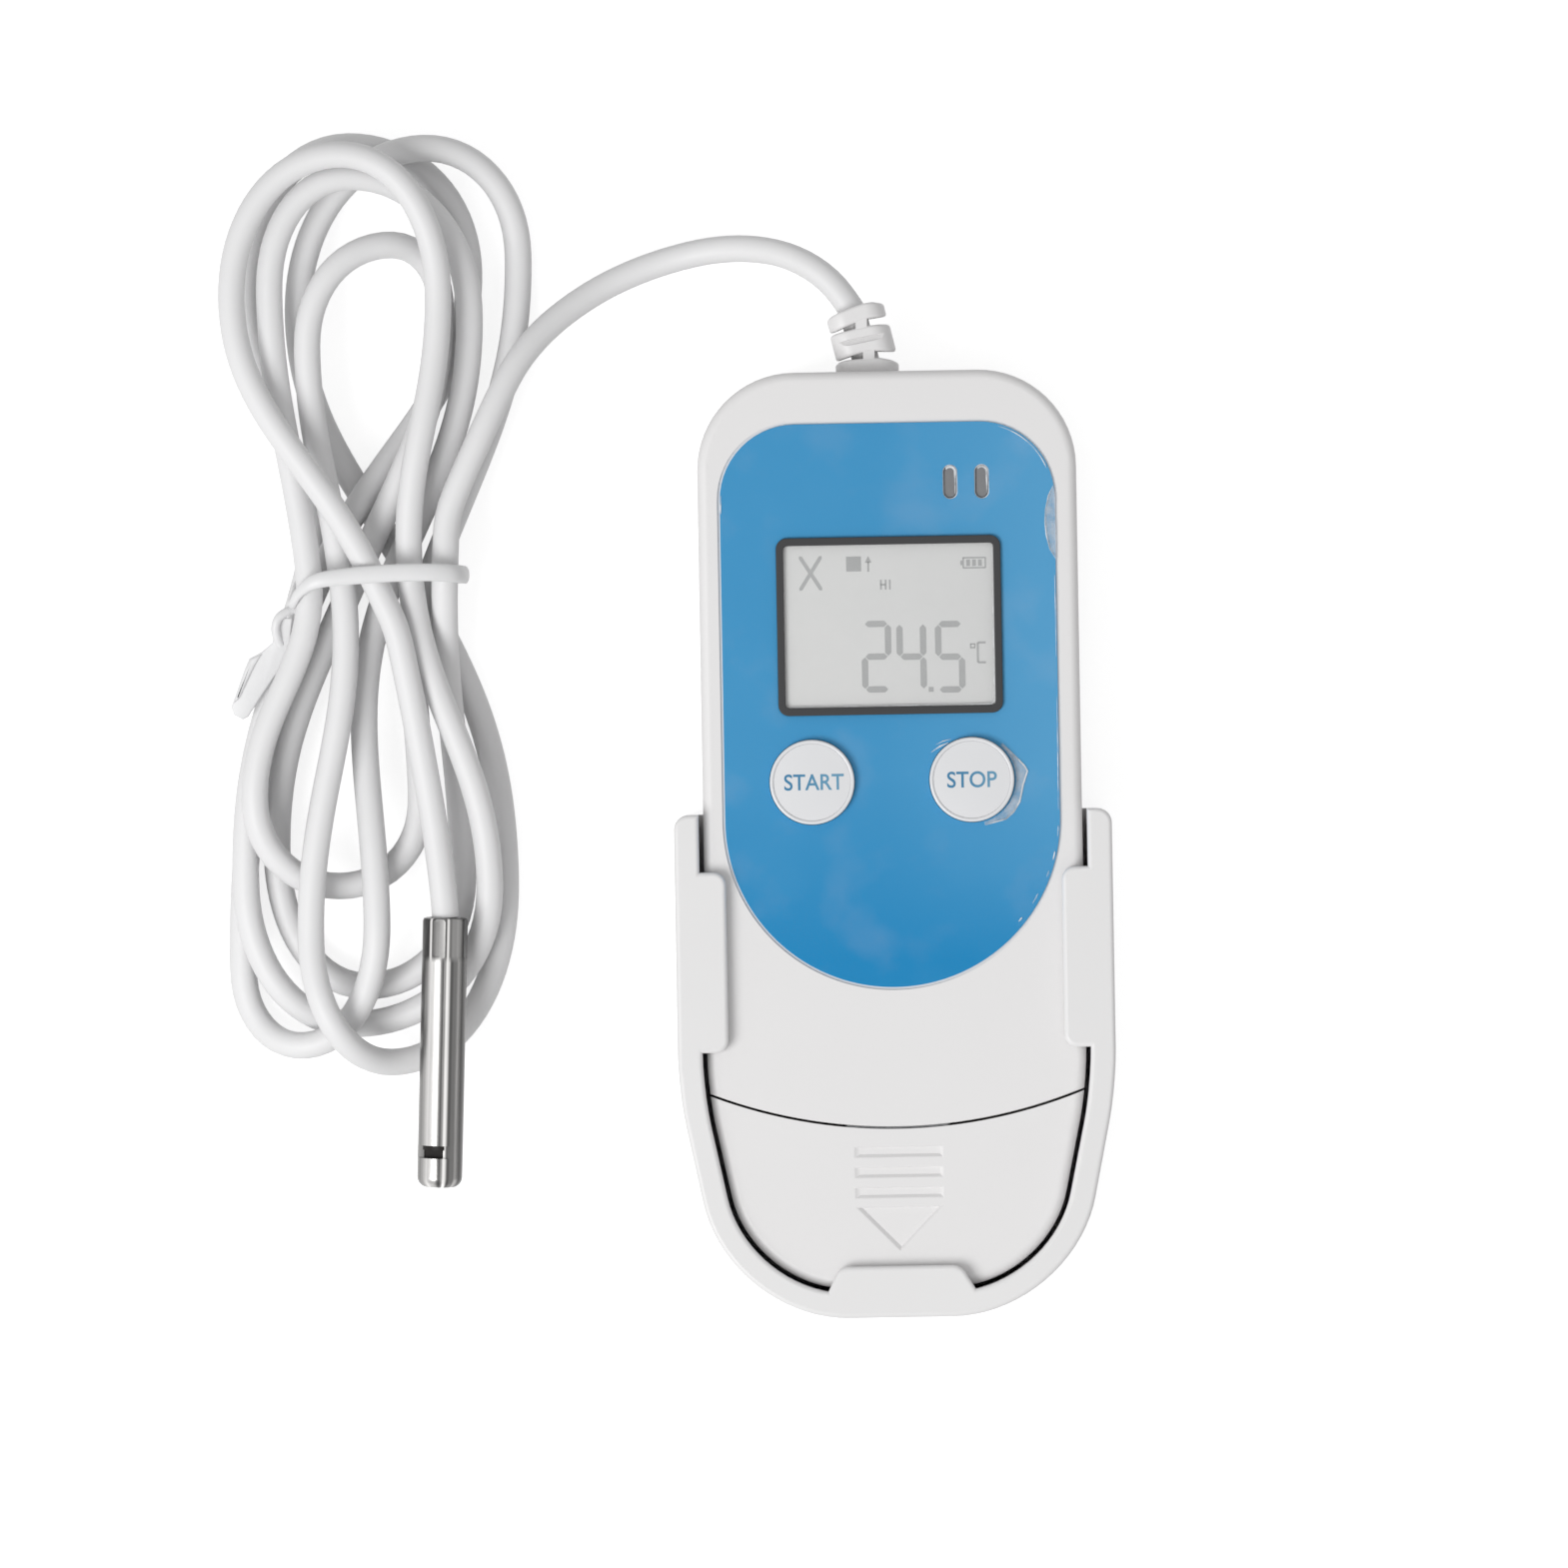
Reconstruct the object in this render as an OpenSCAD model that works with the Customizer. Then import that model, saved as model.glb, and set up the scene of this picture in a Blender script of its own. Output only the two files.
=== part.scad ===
// Temperature data logger with a display, a USB plug under a pull-off cap, a wall bracket
// and a steel probe on a cable that is folded into a tied hank.
// Lengths are millimetres. X runs across the display, Y along the body towards the cable,
// Z out of the front face. The bracket's back lies on Z = 0.

/* [Housing] */
// Width of the housing
housing_w = 42; // [41:0.1:44]
// Distance from the origin up to the housing's cable end
housing_top = 52.4; // [51.5:0.1:54]
// Thickness of the housing from back to front
housing_t = 14; // [13.8:0.1:15.5]
// Wall of the housing
wall = 2; // [1.8:0.1:2.1]
// Wall at the back, where the battery door sits
back_wall = 2.2; // [2.1:0.1:2.3]
// Radius of the two corners at the cable end
corner_r = 10.8; // [9:0.1:12]
// Rounding of the housing's edges
edge_r = 2; // [1:0.1:2.2]
// Height of the parting line above the housing's back
part_up = 6.4; // [6:0.1:6.8]
// Diameter of the housing screws
screw_d = 2; // [1.8:0.1:2.2]

/* [Cap] */
// Distance from the origin down to the cap's lower end
cap_end = 49.15; // [48.8:0.05:49.5]
// Radius of the curved seam between housing and cap
seam_r = 56; // [52:1:62]
// Lowest point of the seam, measured down from the origin
seam_low = 31.3; // [30.8:0.1:31.6]
// Where the sides start to draw in, measured down from the origin
taper_y = 27; // [26:0.1:28]
// Radius of the cap's lower corners
cap_corner_r = 13; // [12:0.1:14]
// Distance of the lower corners' centres from the middle
cap_corner_x = 5.8; // [5:0.1:7]
// Gap at the seam
seam_gap = 0.25; // [0.2:0.05:0.4]

/* [Label and display] */
// Margin of the blue label at each side of the housing
label_side = 2.2; // [2:0.1:2.8]
// Margin of the label at the housing's cable end
label_end = 5.5; // [4.9:0.1:6.4]
// Radius of the label's top corners
label_corner_r = 8.6; // [6:0.1:9]
// Lowest point of the label's round end, measured down from the origin
label_low = 16.1; // [15:0.1:18]
// Thickness of the label
label_t = 0.25; // [0.2:0.05:0.35]
// Thickness of the clear film over the label
film_t = 0.1; // [0.1:0.05:0.2]
// Centre of the display, measured up from the origin
lcd_y = 24.2; // [24:0.1:25]
// Width of the display's dark frame
frame_w = 24.9; // [24:0.1:25.5]
// Height of the display's dark frame
frame_h = 19.7; // [19:0.1:20]
// Width of the frame's rim
frame_rim = 0.75; // [0.6:0.05:0.9]
// Centre of the two lights, measured up from the origin
light_y = 40; // [39.6:0.1:40.6]
// Distance from the middle to the pair of lights
light_x = 8.75; // [8:0.05:9.5]
// Spacing of the two lights
light_pitch = 3.5; // [3:0.1:4]

/* [Buttons] */
// Diameter of each button
button_d = 9.4; // [9:0.1:9.8]
// Distance from the middle to each button
button_x = 8.85; // [8.5:0.05:9.5]
// Centre of the buttons, measured up from the origin
button_y = 7; // [6.4:0.1:7.1]
// How far a button presses in
button_travel = 0.5; // [0.3:0.1:0.5]
// How far a button's rim stands out of the front
button_rise = 0.95; // [0.7:0.05:1.2]

/* [Battery door] */
// Diameter of the battery door
door_d = 26; // [25.6:0.1:26.4]
// Centre of the door, measured up from the origin
door_y = 20.5; // [20:0.1:21]
// Diameter of the coin cell
cell_d = 20; // [19.9:0.1:20]
// Thickness of the coin cell
cell_t = 3.2; // [3:0.1:3.2]

/* [USB plug] */
// Width of the plug's metal shell
usb_w = 12; // [11.8:0.1:12.2]
// Thickness of the plug's metal shell
usb_t = 4.5; // [4.4:0.1:4.6]
// How far the plug stands out past the seam's lowest point
usb_reach = 12; // [11:0.5:12.5]

/* [Bracket] */
// Wall of the bracket
bracket_wall = 2.75; // [2.4:0.05:3]
// Gap between bracket and housing at the sides
bracket_gap = 0.5; // [0.4:0.05:0.7]
// Thickness of the bracket's back plate
plate_t = 2; // [1.8:0.1:2.5]
// Gap between plate and housing, and between clips and housing
plate_gap = 0.3; // [0.25:0.05:0.5]
// Height of the bracket's arms above the origin
arm_top = 3.6; // [2:0.1:4]
// Upper edge of the side clips, measured down from the origin
clip_top = 2.8; // [2.6:0.1:4]
// Length of each side clip
clip_len = 20; // [16:0.5:22]
// How far each side clip reaches over the housing's front
clip_reach = 2.4; // [2:0.1:2.6]
// Thickness of the clips
clip_t = 1.5; // [1.2:0.1:2]
// How far the bottom lip reaches in from the bracket's lower end
lip_reach = 5.7; // [5:0.1:6.5]
// Width of the bottom lip at its free edge
lip_w = 13.4; // [12:0.1:15]
// Diameter of the two wall screw holes
wall_hole_d = 4.2; // [3.5:0.1:4.5]
// Spacing of the two wall screw holes
wall_hole_pitch = 26; // [22:0.5:28]

/* [Cable and probe] */
// Diameter of the probe cable
cable_d = 3; // [2.8:0.1:3]
// Width of the square strain relief
gland_w = 6.8; // [6.2:0.1:7]
// Length of the strain relief outside the housing
gland_len = 7.4; // [6.5:0.1:8]
// Distance of the strain relief to the left of the middle
gland_x = 2.1; // [1.5:0.1:3]
// Width of the tie around the hank
tie_w = 1.9; // [1.6:0.1:2.2]
// Diameter of the steel probe
probe_d = 5; // [4.8:0.1:5]
// Length of the steel probe
probe_len = 30; // [28:0.5:32]

/* [Hidden] */
$fn = 48;

// One overrun serves all cuts, and one fine clearance serves parts that are glued or pressed.
over = 1;
fine = 0.05;
slip = 0.2;

// Heights of the housing.
back_z = plate_t + plate_gap;
front_z = back_z + housing_t;
inner_low_z = back_z + back_wall;
inner_high_z = front_z - wall;
part_z = back_z + part_up;
mid_z = back_z + housing_t / 2;
label_z = front_z - label_t;
label_w = housing_w - 2 * label_side;
label_top = housing_top - label_end;
seam_y = seam_r - seam_low;
arc_steps = 8;
taper_lean = 10;

// Circuit board.
board_t = 1.2;
board_z = mid_z;
board_top = board_z + board_t;
board_gap = 0.6;

// Housing screws and their bosses.
boss_r = 2.4;
lower_boss_r = 2.8;
screw_len = 8;
screw_head_r = 1.8;
screw_head_t = 1.3;
screw_sink = 0.2;
screw_tip = back_z + screw_sink + screw_head_t + screw_len;
pilot_room = 0.8;
boss_inset = 5.2;
low_boss_inset = 4.7;
boss_from_top = 6.6;
boss_in_x = housing_w / 2 - boss_inset;
boss_low_x = housing_w / 2 - low_boss_inset;
boss_top_y = housing_top - boss_from_top;
boss_low_y = 21;
screw_places = [
    [boss_in_x, boss_top_y], [-boss_in_x, boss_top_y],
    [boss_low_x, -boss_low_y], [-boss_low_x, -boss_low_y]
];
post_r = 1.4;
post_places = [
    [boss_in_x - 2 * boss_r, boss_top_y], [-boss_in_x + 2 * boss_r, boss_top_y],
    [boss_low_x - 2 * boss_r, boss_r - boss_low_y], [2 * boss_r - boss_low_x, boss_r - boss_low_y]
];

// Gasket between the shells.
gasket_w = 0.7;
gasket_t = 0.6;

// Display stack.
window_ledge = 0.6;
window_w = frame_w - window_ledge;
window_h = frame_h - window_ledge;
frame_t = 0.4;
frame_corner = 1.2;
glass_side = 1.05;
glass_end = 0.85;
glass_w = frame_w + 2 * glass_side;
glass_h = frame_h + 2 * glass_end;
glass_t = 2;
glass_z = inner_high_z - fine - glass_t;
reflector_t = 0.15;
zebra_w = 1.8;
zebra_end = 1.2;
carrier_rim = 0.75;

// Lights.
slot_w = 1.4;
slot_h = 3.6;
slot_sink = 0.35;
led_w = 0.9;
led_h = 1.7;
led_t = 0.7;
light_xs = [light_x - light_pitch / 2, light_x + light_pitch / 2];

// Buttons and switches.
button_gap = 0.2;
button_rim = 0.75;
button_dish = 0.35;
flange_w = 0.3;
flange_r = button_d / 2 + flange_w;
flange_t = 0.8;
stem_r = 1.6;
switch_w = 5;
switch_t = 1.4;
plunger_r = 1.1;
plunger_h = 1.3;
plunger_up = 1;
plunger_z = board_top + plunger_up;
plunger_top = plunger_z + plunger_h;
button_side = [-1, 1];

// Battery door: a disc in a recess, a neck through the wall and three lugs behind it.
door_t = 1;
door_recess = 1.25;
door_gap = 0.15;
lug_len = 1.4;
neck_r = cell_d / 2 + slip;
lug_r = neck_r + lug_len;
lug_angle = 24;
lug_t = 0.8;
lug_gap = 0.2;
lug_z = inner_low_z + lug_gap;
neck_top = lug_z + lug_t;
door_disc_z = back_z + door_recess - door_t - door_gap;
coin_slot_len = 14;
coin_slot_w = 1.8;
coin_slot_deep = 0.5;
seal_w = 0.6;
holder_wall = 1.2;
contact_t = 0.25;
cell_z = board_z - contact_t - fine - cell_t;
cell_step = 0.5;
cell_rim = 1.2;

// USB plug.
usb_wall = 0.3;
usb_inside = 9.3;
usb_tip = seam_low + usb_reach;
usb_start = seam_low - usb_inside;
tongue_t = 1.9;
finger_w = 1;
finger_t = 0.15;
finger_pitch = 2.3;
finger_count = 4;
notch_gap = 0.2;

// Cap and its liner.
cap_wall = 2;
liner_w = 17.6;
liner_gap = 0.1;
liner_inset = 0.7;
liner_from_end = 3.35;
liner_start = seam_low + liner_inset;
liner_end = cap_end - liner_from_end;
mark_w = 9.6;
bar_h = 1.1;
bar_pitch = 2.2;
bar_count = 3;
bar_y = 34.1;
mark_deep = 0.3;
arrow_y = 40.2;
arrow_h = 4.9;

// Bracket.
grip = bracket_gap + bracket_wall;
rim_top = front_z + plate_gap + clip_t;
lip_slope = 2.1;
lip_corner = 0.8;
clip_corner = 1.4;
arm_corner = 1.6;
wall_hole_y = 20;
sink_r = wall_hole_d;
sink_h = plate_t / 2;

// Strain relief: a flange and neck in the wall, a straight collar, and leaning square rings.
// The slits between the rings open at the sides and at the front in turn.
gland_lean = 10.7;
gland_core_r = 1.9;
collar_h = 1.2;
web_w = 1.3;
ring_corner = 1.3;
ring_shares = [[0.09, 0.33], [0.42, 0.63], [0.72, 1]];
gland_taper_share = 0.1;
gland_depth_share = 0.94;
gland_neck_r = 2.6;
gland_flange_r = 3.4;
gland_flange_t = 1.3;
socket_w = 5;
socket_t = 3;
socket_len = 4;
wire_d = 1;
wire_pitch = 1.6;

// Cable route. Places are millimetres, chosen by hand.
cable_sides = 8;
lead_points = [
    [-3.2, 58.8, 9.3], [-4.2, 60.4, 9.3], [-5.6, 62.3, 9.2], [-7.9, 64.2, 8.6], [-11, 65.7, 7.2],
    [-14.6, 66.4, 5.2],
    [-18.4, 66.4, 3.2], [-22.4, 65.7, 2], [-27, 64.3, 1.7], [-31.8, 62.1, 2.4], [-36.6, 58.8, 4.4],
    [-40.4, 54.8, 6.8], [-43, 50.2, 8.4], [-45.2, 45.6, 9.2], [-47, 41.8, 9.4], [-48.3, 38.8, 9.4],
    [-48.9, 36.9, 9.4], [-49, 35.05, 9.4]
];
tail_points = [
    [-55.6, 26.95, 11.3], [-54.7, 24.95, 11.3], [-53.8, 20.6, 11.1], [-52.7, 14.6, 10.7],
    [-51.7, 8.6, 10.2], [-50.7, 2, 9.9], [-50, -4.4, 9.8], [-49.8, -7.3, 9.7]
];

// Hank: a pinched bundle of loops around one tie. A run is one crossing of the tie, with its
// place, its lean and its heights before, at and after the tie. A loop is the way from one run
// to the next: arriving side, far tip, leaving side, and the heights along it.
hank_at = [-56.8, 31, 0];
run_end = 4;
leg_pull = 0.42;
arc_pull = 0.57;
leg_rings = 6;
ring_sides = 6;
runs = [
    [7.6, 0.05, 9.4, 9.4, 9.4, 5.3, 4.4],
    [-2.2, 0.45, 4.9, 5.6, 6, 7, 7.1],
    [-3.9, -0.12, 7.8, 8.6, 9.2, 9.7, 9.8],
    [3.6, -0.55, 1.7, 1.8, 2.5, 1.7, 1.7],
    [6.1, 0.4, 4.4, 5.6, 5.9, 5.4, 5.3],
    [-7.5, -0.1, 9.8, 9.8, 9.5, 9.1, 8.8],
    [1.9, 0.45, 6, 5.9, 5.9, 5.8, 6],
    [-7.8, 0.3, 1.7, 1.9, 2.5, 2.3, 1.8],
    [-6.2, 0.45, 2, 5, 5.6, 6.1, 5.8],
    [3.7, -0.06, 9.2, 9.1, 9.2, 10.3, 10.7],
    [-0.6, -0.45, 12.6, 12.8, 11.3, 11.3, 10.6]
];
loops = [
    [[9, -34], [-2, -45.9], [-11.7, -31], [4.8, 3.4, 1.7, 1.9, 3]],
    [[7.6, 30.2], [2.2, 36.6], [-7.3, 25.5], [3.7, 4.4, 7, 8.7, 8.6]],
    [[-8, -40.5], [0.8, -54.4], [13.7, -34.5], [9.5, 9.8, 4.6, 1.8, 1.7]],
    [[-8.3, 29], [6.2, 47.3], [16.3, 35.3], [5, 4.5, 5.2, 3.5, 1.7]],
    [[4.5, -25.4], [-4.6, -34.7], [-14, -25], [5.2, 4.9, 5.1, 7.4, 9.3]],
    [[-11.4, 31.8], [-2.4, 44.2], [10.8, 29], [8.8, 8.6, 8.4, 5.8, 5.5]],
    [[-0.6, -39], [-9.2, -52.4], [-15.7, -44.2], [8.8, 6.1, 4.6, 1.8, 1.7]],
    [[-14.3, 30.6], [-2.6, 47.7], [10.8, 33.5], [1.8, 2, 1.6, 1.6, 1.6]],
    [[-15.2, -34.2], [-3.4, -50.1], [12, -34.9], [5.3, 4.2, 1.7, 3.9, 7.5]],
    [[7.4, 31.2], [-3.2, 46.65], [-15.6, 30.8], [9.6, 10.6, 11, 10.2, 10.4]]
];
last_run = len(runs) - 1;

// Tie: a coated strip round the bundle, a twist at its left and a folded tail.
tie_t = 0.8;
tie_left = -9.9;
tie_right = 9.6;
tie_low = 0.1;
tie_high = 14;
tie_corner = 2.4;
tie_twist_r = 1.1;
tail_strip_w = 2.2;
tail_strip_t = 0.9;
tie_tail = [[-10.3, -2.6, 8.8], [-11.4, -5.6, 8.6], [-13.8, -9, 8.2], [-15.4, -14.6, 7.6]];

// Probe.
probe_at = [-49.8, -7.3, 9.7];
probe_turn = 2.3;
probe_dip = 3;
probe_wall = 0.4;
crimp_len = 5;
crimp_w = 4.4;
vent_from_tip = 4.1;
vent_w = 1.2;
vent_deep = 1.6;
tip_r = 1.4;
bead_r = 1.3;
bead_len = 5;
bead_from_tip = 1.2;

function arc(cx, cy, r, a0, a1, n) =
    [for (i = [0:n]) let (a = a0 + (a1 - a0) * i / n) [cx + r * cos(a), cy + r * sin(a)]];

// Outline of housing and cap together, grown or shrunk all round.
function body_outline(grow) = let (
        hw = housing_w / 2 + grow,
        top = housing_top + grow,
        r = corner_r + grow,
        low_y = cap_corner_r - cap_end,
        low_r = cap_corner_r + grow
    ) concat(
        arc(hw - r, top - r, r, 0, 90, arc_steps),
        arc(r - hw, top - r, r, 90, 180, arc_steps),
        [[-hw, -taper_y]],
        arc(-cap_corner_x, low_y, low_r, 180 + taper_lean, 270, arc_steps),
        arc(cap_corner_x, low_y, low_r, 270, 360 - taper_lean, arc_steps),
        [[hw, -taper_y]]
    );

function label_outline(grow) = let (
        hw = label_w / 2 + grow,
        top = label_top + grow,
        r = label_corner_r + grow
    ) concat(
        arc(hw - r, top - r, r, 0, 90, arc_steps),
        arc(r - hw, top - r, r, 90, 180, arc_steps),
        arc(0, hw - grow - label_low, hw, 180, 360, 3 * arc_steps)
    );

function rounded_rect(w, h, r) = concat(
    arc(w / 2 - r, h / 2 - r, r, 0, 90, 6), arc(r - w / 2, h / 2 - r, r, 90, 180, 6),
    arc(r - w / 2, r - h / 2, r, 180, 270, 6), arc(w / 2 - r, r - h / 2, r, 270, 360, 6)
);

// Levels of a plate with rounded edges: how far each is drawn in, and its height.
function edge_levels(z0, z1, r) = concat(
    [for (a = [0:30:90]) [-r * (1 - sin(a)), z0 + r * (1 - cos(a))]],
    [for (a = [90:-30:0]) [-r * (1 - sin(a)), z1 - r * (1 - cos(a))]]
);

module stacked(levels) {
    points = [for (l = levels) for (p = body_outline(l[0])) [p.x, p.y, l[1]]];
    n = len(body_outline(0));
    m = len(levels);
    polyhedron(points, concat(
        [[for (i = [0:n - 1]) i]],
        [[for (i = [n - 1:-1:0]) (m - 1) * n + i]],
        [for (k = [0:m - 2]) for (i = [0:n - 1])
            [k * n + i, (k + 1) * n + i, (k + 1) * n + (i + 1) % n, k * n + (i + 1) % n]]
    ));
}

module body_solid() {
    stacked(edge_levels(back_z, front_z, edge_r));
}

module body_hollow(inset) {
    stacked([[-inset, inner_low_z], [-inset, inner_high_z]]);
}

// Everything above the curved seam, moved in by a set amount.
module above_seam(inset) {
    translate([0, seam_y, -over]) cylinder(r = seam_r - inset, h = front_z + 2 * over, $fn = 96);
}

module slab(z0, z1) {
    translate([-housing_w, -housing_top * 2, z0]) cube([2 * housing_w, 4 * housing_top, z1 - z0]);
}

module box_at(x, y, z, w, h, t) {
    translate([x - w / 2, y - h / 2, z]) cube([w, h, t]);
}

module plate(outline, z, t) {
    translate([0, 0, z]) linear_extrude(t) polygon(outline);
}

module plug_hole() {
    box_at(0, -seam_low, mid_z - usb_t / 2 - slip, usb_w + 2 * slip, 4 * usb_inside, usb_t + 2 * slip);
}

module gland_place() {
    translate([-gland_x, housing_top, mid_z]) rotate([-90, 0, 0]) children();
}

module gland_hole() {
    gland_place() translate([0, 0, -wall - over])
        cylinder(r = gland_neck_r + fine, h = wall + 2 * over);
}

module at_lights() {
    for (x = light_xs) translate([x, light_y, 0]) children();
}

module front_shell() {
    color("whitesmoke") difference() {
        union() {
            difference() {
                intersection() {
                    body_solid();
                    above_seam(0);
                    slab(part_z, front_z + over);
                }
                intersection() {
                    body_hollow(wall);
                    above_seam(wall);
                }
            }
            for (p = screw_places) translate([p.x, p.y, part_z])
                cylinder(r = boss_r, h = inner_high_z - part_z + fine);
        }
        plate(label_outline(fine), label_z, label_t + over);
        box_at(0, lcd_y, glass_z, window_w, window_h, front_z);
        for (s = button_side) translate([s * button_x, button_y, inner_high_z - over])
            cylinder(r = button_d / 2 + button_gap, h = wall + 2 * over);
        at_lights() plate(rounded_rect(slot_w, slot_h, slot_w / 2 - fine), inner_high_z - over,
            wall + 2 * over);
        for (p = screw_places) translate([p.x, p.y, part_z - over])
            cylinder(r = screw_d / 2 + fine, h = screw_tip + pilot_room - part_z + over);
        plug_hole();
        gland_hole();
    }
}

module back_shell() {
    color("whitesmoke") difference() {
        union() {
            difference() {
                intersection() {
                    body_solid();
                    above_seam(0);
                    slab(back_z - over, part_z);
                }
                intersection() {
                    body_hollow(wall);
                    above_seam(wall);
                }
                intersection() {
                    stacked([[-wall + gasket_w, part_z - gasket_t], [-wall + gasket_w, front_z]]);
                    above_seam(wall - gasket_w);
                }
            }
            for (p = screw_places) translate([p.x, p.y, back_z + screw_head_t])
                cylinder(r = lower_boss_r, h = part_z - back_z - screw_head_t);
            for (p = post_places) translate([p.x, p.y, inner_low_z - fine])
                cylinder(r = post_r, h = board_z - inner_low_z + fine);
        }
        for (p = screw_places) translate([p.x, p.y, back_z - over]) {
            cylinder(r = screw_d / 2 + fine, h = housing_t);
            cylinder(r = screw_head_r + slip, h = screw_head_t + screw_sink + over);
        }
        translate([0, door_y, back_z - over]) {
            cylinder(r = door_d / 2 + slip, h = door_recess + over, $fn = 96);
            cylinder(r = neck_r + slip, h = back_wall + 2 * over, $fn = 96);
            door_lugs(lug_r + slip, lug_angle + 6, back_wall + 2 * over, 45);
        }
        plug_hole();
        gland_hole();
    }
}

module door_lugs(r, spread, h, turn) {
    for (a = [0:120:240]) rotate(a + turn - spread / 2)
        rotate_extrude(angle = spread, $fn = 96) square([r, h]);
}

module housing_gasket() {
    color("dimgray") difference() {
        intersection() {
            stacked([[-wall + gasket_w - fine, part_z - gasket_t], [-wall + gasket_w - fine, part_z]]);
            above_seam(wall - gasket_w + fine);
        }
        intersection() {
            stacked([[-wall, part_z - 2 * gasket_t], [-wall, part_z + gasket_t]]);
            above_seam(wall);
        }
        for (p = screw_places) translate([p.x, p.y, part_z - 2 * gasket_t])
            cylinder(r = lower_boss_r + fine, h = 4 * gasket_t);
        plug_hole();
        gland_hole();
    }
}

module housing_screws() {
    color("silver") for (p = screw_places) translate([p.x, p.y, back_z + screw_sink]) {
        difference() {
            cylinder(r = screw_head_r, h = screw_head_t);
            box_at(0, 0, -over, screw_head_r * 1.2, screw_d / 5, screw_head_t / 2 + over);
            box_at(0, 0, -over, screw_d / 5, screw_head_r * 1.2, screw_head_t / 2 + over);
        }
        cylinder(r = screw_d / 2, h = screw_len + screw_head_t);
    }
}

module front_openings(z, t) {
    box_at(0, lcd_y, z, window_w + 2 * fine, window_h + 2 * fine, t);
    for (s = button_side) translate([s * button_x, button_y, z])
        cylinder(r = button_d / 2 + button_gap, h = t);
    at_lights() plate(rounded_rect(slot_w + fine, slot_h + fine, slot_w / 2), z, t);
}

module front_label() {
    color("steelblue") difference() {
        plate(label_outline(0), label_z, label_t);
        front_openings(label_z - over, label_t + 2 * over);
    }
}

module protective_film() {
    color([0.85, 0.92, 1, 0.35]) difference() {
        plate(label_outline(-button_gap), front_z, film_t);
        front_openings(front_z - over, film_t + 2 * over);
        plate([for (p = rounded_rect(frame_w + slip, frame_h + slip, frame_corner)) p + [0, lcd_y]],
            front_z - over, film_t + 2 * over);
    }
}

module lcd_frame() {
    color("dimgray") translate([0, lcd_y, front_z]) linear_extrude(frame_t) difference() {
        polygon(rounded_rect(frame_w, frame_h, frame_corner));
        square([frame_w - 2 * frame_rim, frame_h - 2 * frame_rim], center = true);
    }
}

module lcd_window() {
    color([0.9, 0.95, 0.95, 0.3])
        box_at(0, lcd_y, glass_z + glass_t + fine, window_w - 2 * fine, window_h - 2 * fine,
            front_z - glass_z - glass_t - fine);
}

module lcd_glass() {
    color("lightgray") box_at(0, lcd_y, glass_z, glass_w, glass_h, glass_t);
}

module lcd_reflector() {
    h = glass_h - 2 * zebra_w - 2 * carrier_rim;
    color("silver") box_at(0, lcd_y, glass_z - reflector_t, window_w, h, reflector_t);
}

module lcd_carrier() {
    w = glass_w + 2 * fine;
    h = glass_h + 2 * fine;
    color("whitesmoke") difference() {
        box_at(0, lcd_y, board_top, w + 2 * carrier_rim, h + 2 * carrier_rim, glass_z + glass_t - board_top);
        box_at(0, lcd_y, board_top - over, w, h, housing_t);
    }
}

module zebra_strips() {
    y = glass_h / 2 - zebra_w / 2 - fine;
    color("gray") for (s = button_side)
        box_at(0, lcd_y + s * y, board_top, glass_w - 2 * zebra_end, zebra_w, glass_z - board_top);
}

module circuit_board() {
    color("darkgreen") translate([0, 0, board_z]) linear_extrude(board_t) difference() {
        intersection() {
            polygon(body_outline(-wall - board_gap));
            translate([0, seam_y]) circle(r = seam_r - wall - 2 * board_gap, $fn = 96);
        }
        for (p = screw_places) translate(p) circle(r = lower_boss_r + board_gap);
        translate([0, -seam_low])
            square([usb_w + 2 * notch_gap, 2 * (usb_inside + notch_gap)], center = true);
        translate([-gland_x, housing_top - wall])
            square([2 * gland_flange_r + board_gap, 4 * gland_flange_t], center = true);
    }
}

// Chips lie on the front of the board between the buttons and the plug.
module control_chip() {
    color("black") box_at(0, -button_y, board_top, button_d, button_d, button_rim + board_gap);
}

module memory_chip() {
    color("black") box_at(button_d, -2 * button_y, board_top, switch_w, switch_w - board_t, board_t);
}

module clock_crystal() {
    color("silver") box_at(-button_d, -button_y - stem_r, board_top, stem_r * 2, button_d * 0.8, board_t);
}

module chip_capacitors() {
    color("tan") for (i = [0:3])
        box_at(-button_d + i * usb_w / 3, -seam_low + usb_inside + switch_w, board_top, stem_r, led_w, led_w);
}

module indicator_leds() {
    color("lightyellow") for (x = light_xs) box_at(x, light_y, board_top, led_w, led_h, led_t);
}

module light_guides() {
    z = board_top + led_t + fine;
    color("lightgray") at_lights()
        plate(rounded_rect(slot_w - 2 * fine, slot_h - 2 * fine, slot_w / 2 - 2 * fine), z,
            front_z - slot_sink - z);
}

module switch_bodies() {
    color("dimgray") for (s = button_side) difference() {
        box_at(s * button_x, button_y, board_top, switch_w, switch_w, switch_t);
        translate([s * button_x, button_y, plunger_z - button_travel - slip])
            cylinder(r = plunger_r + fine, h = switch_t + over);
    }
}

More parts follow.
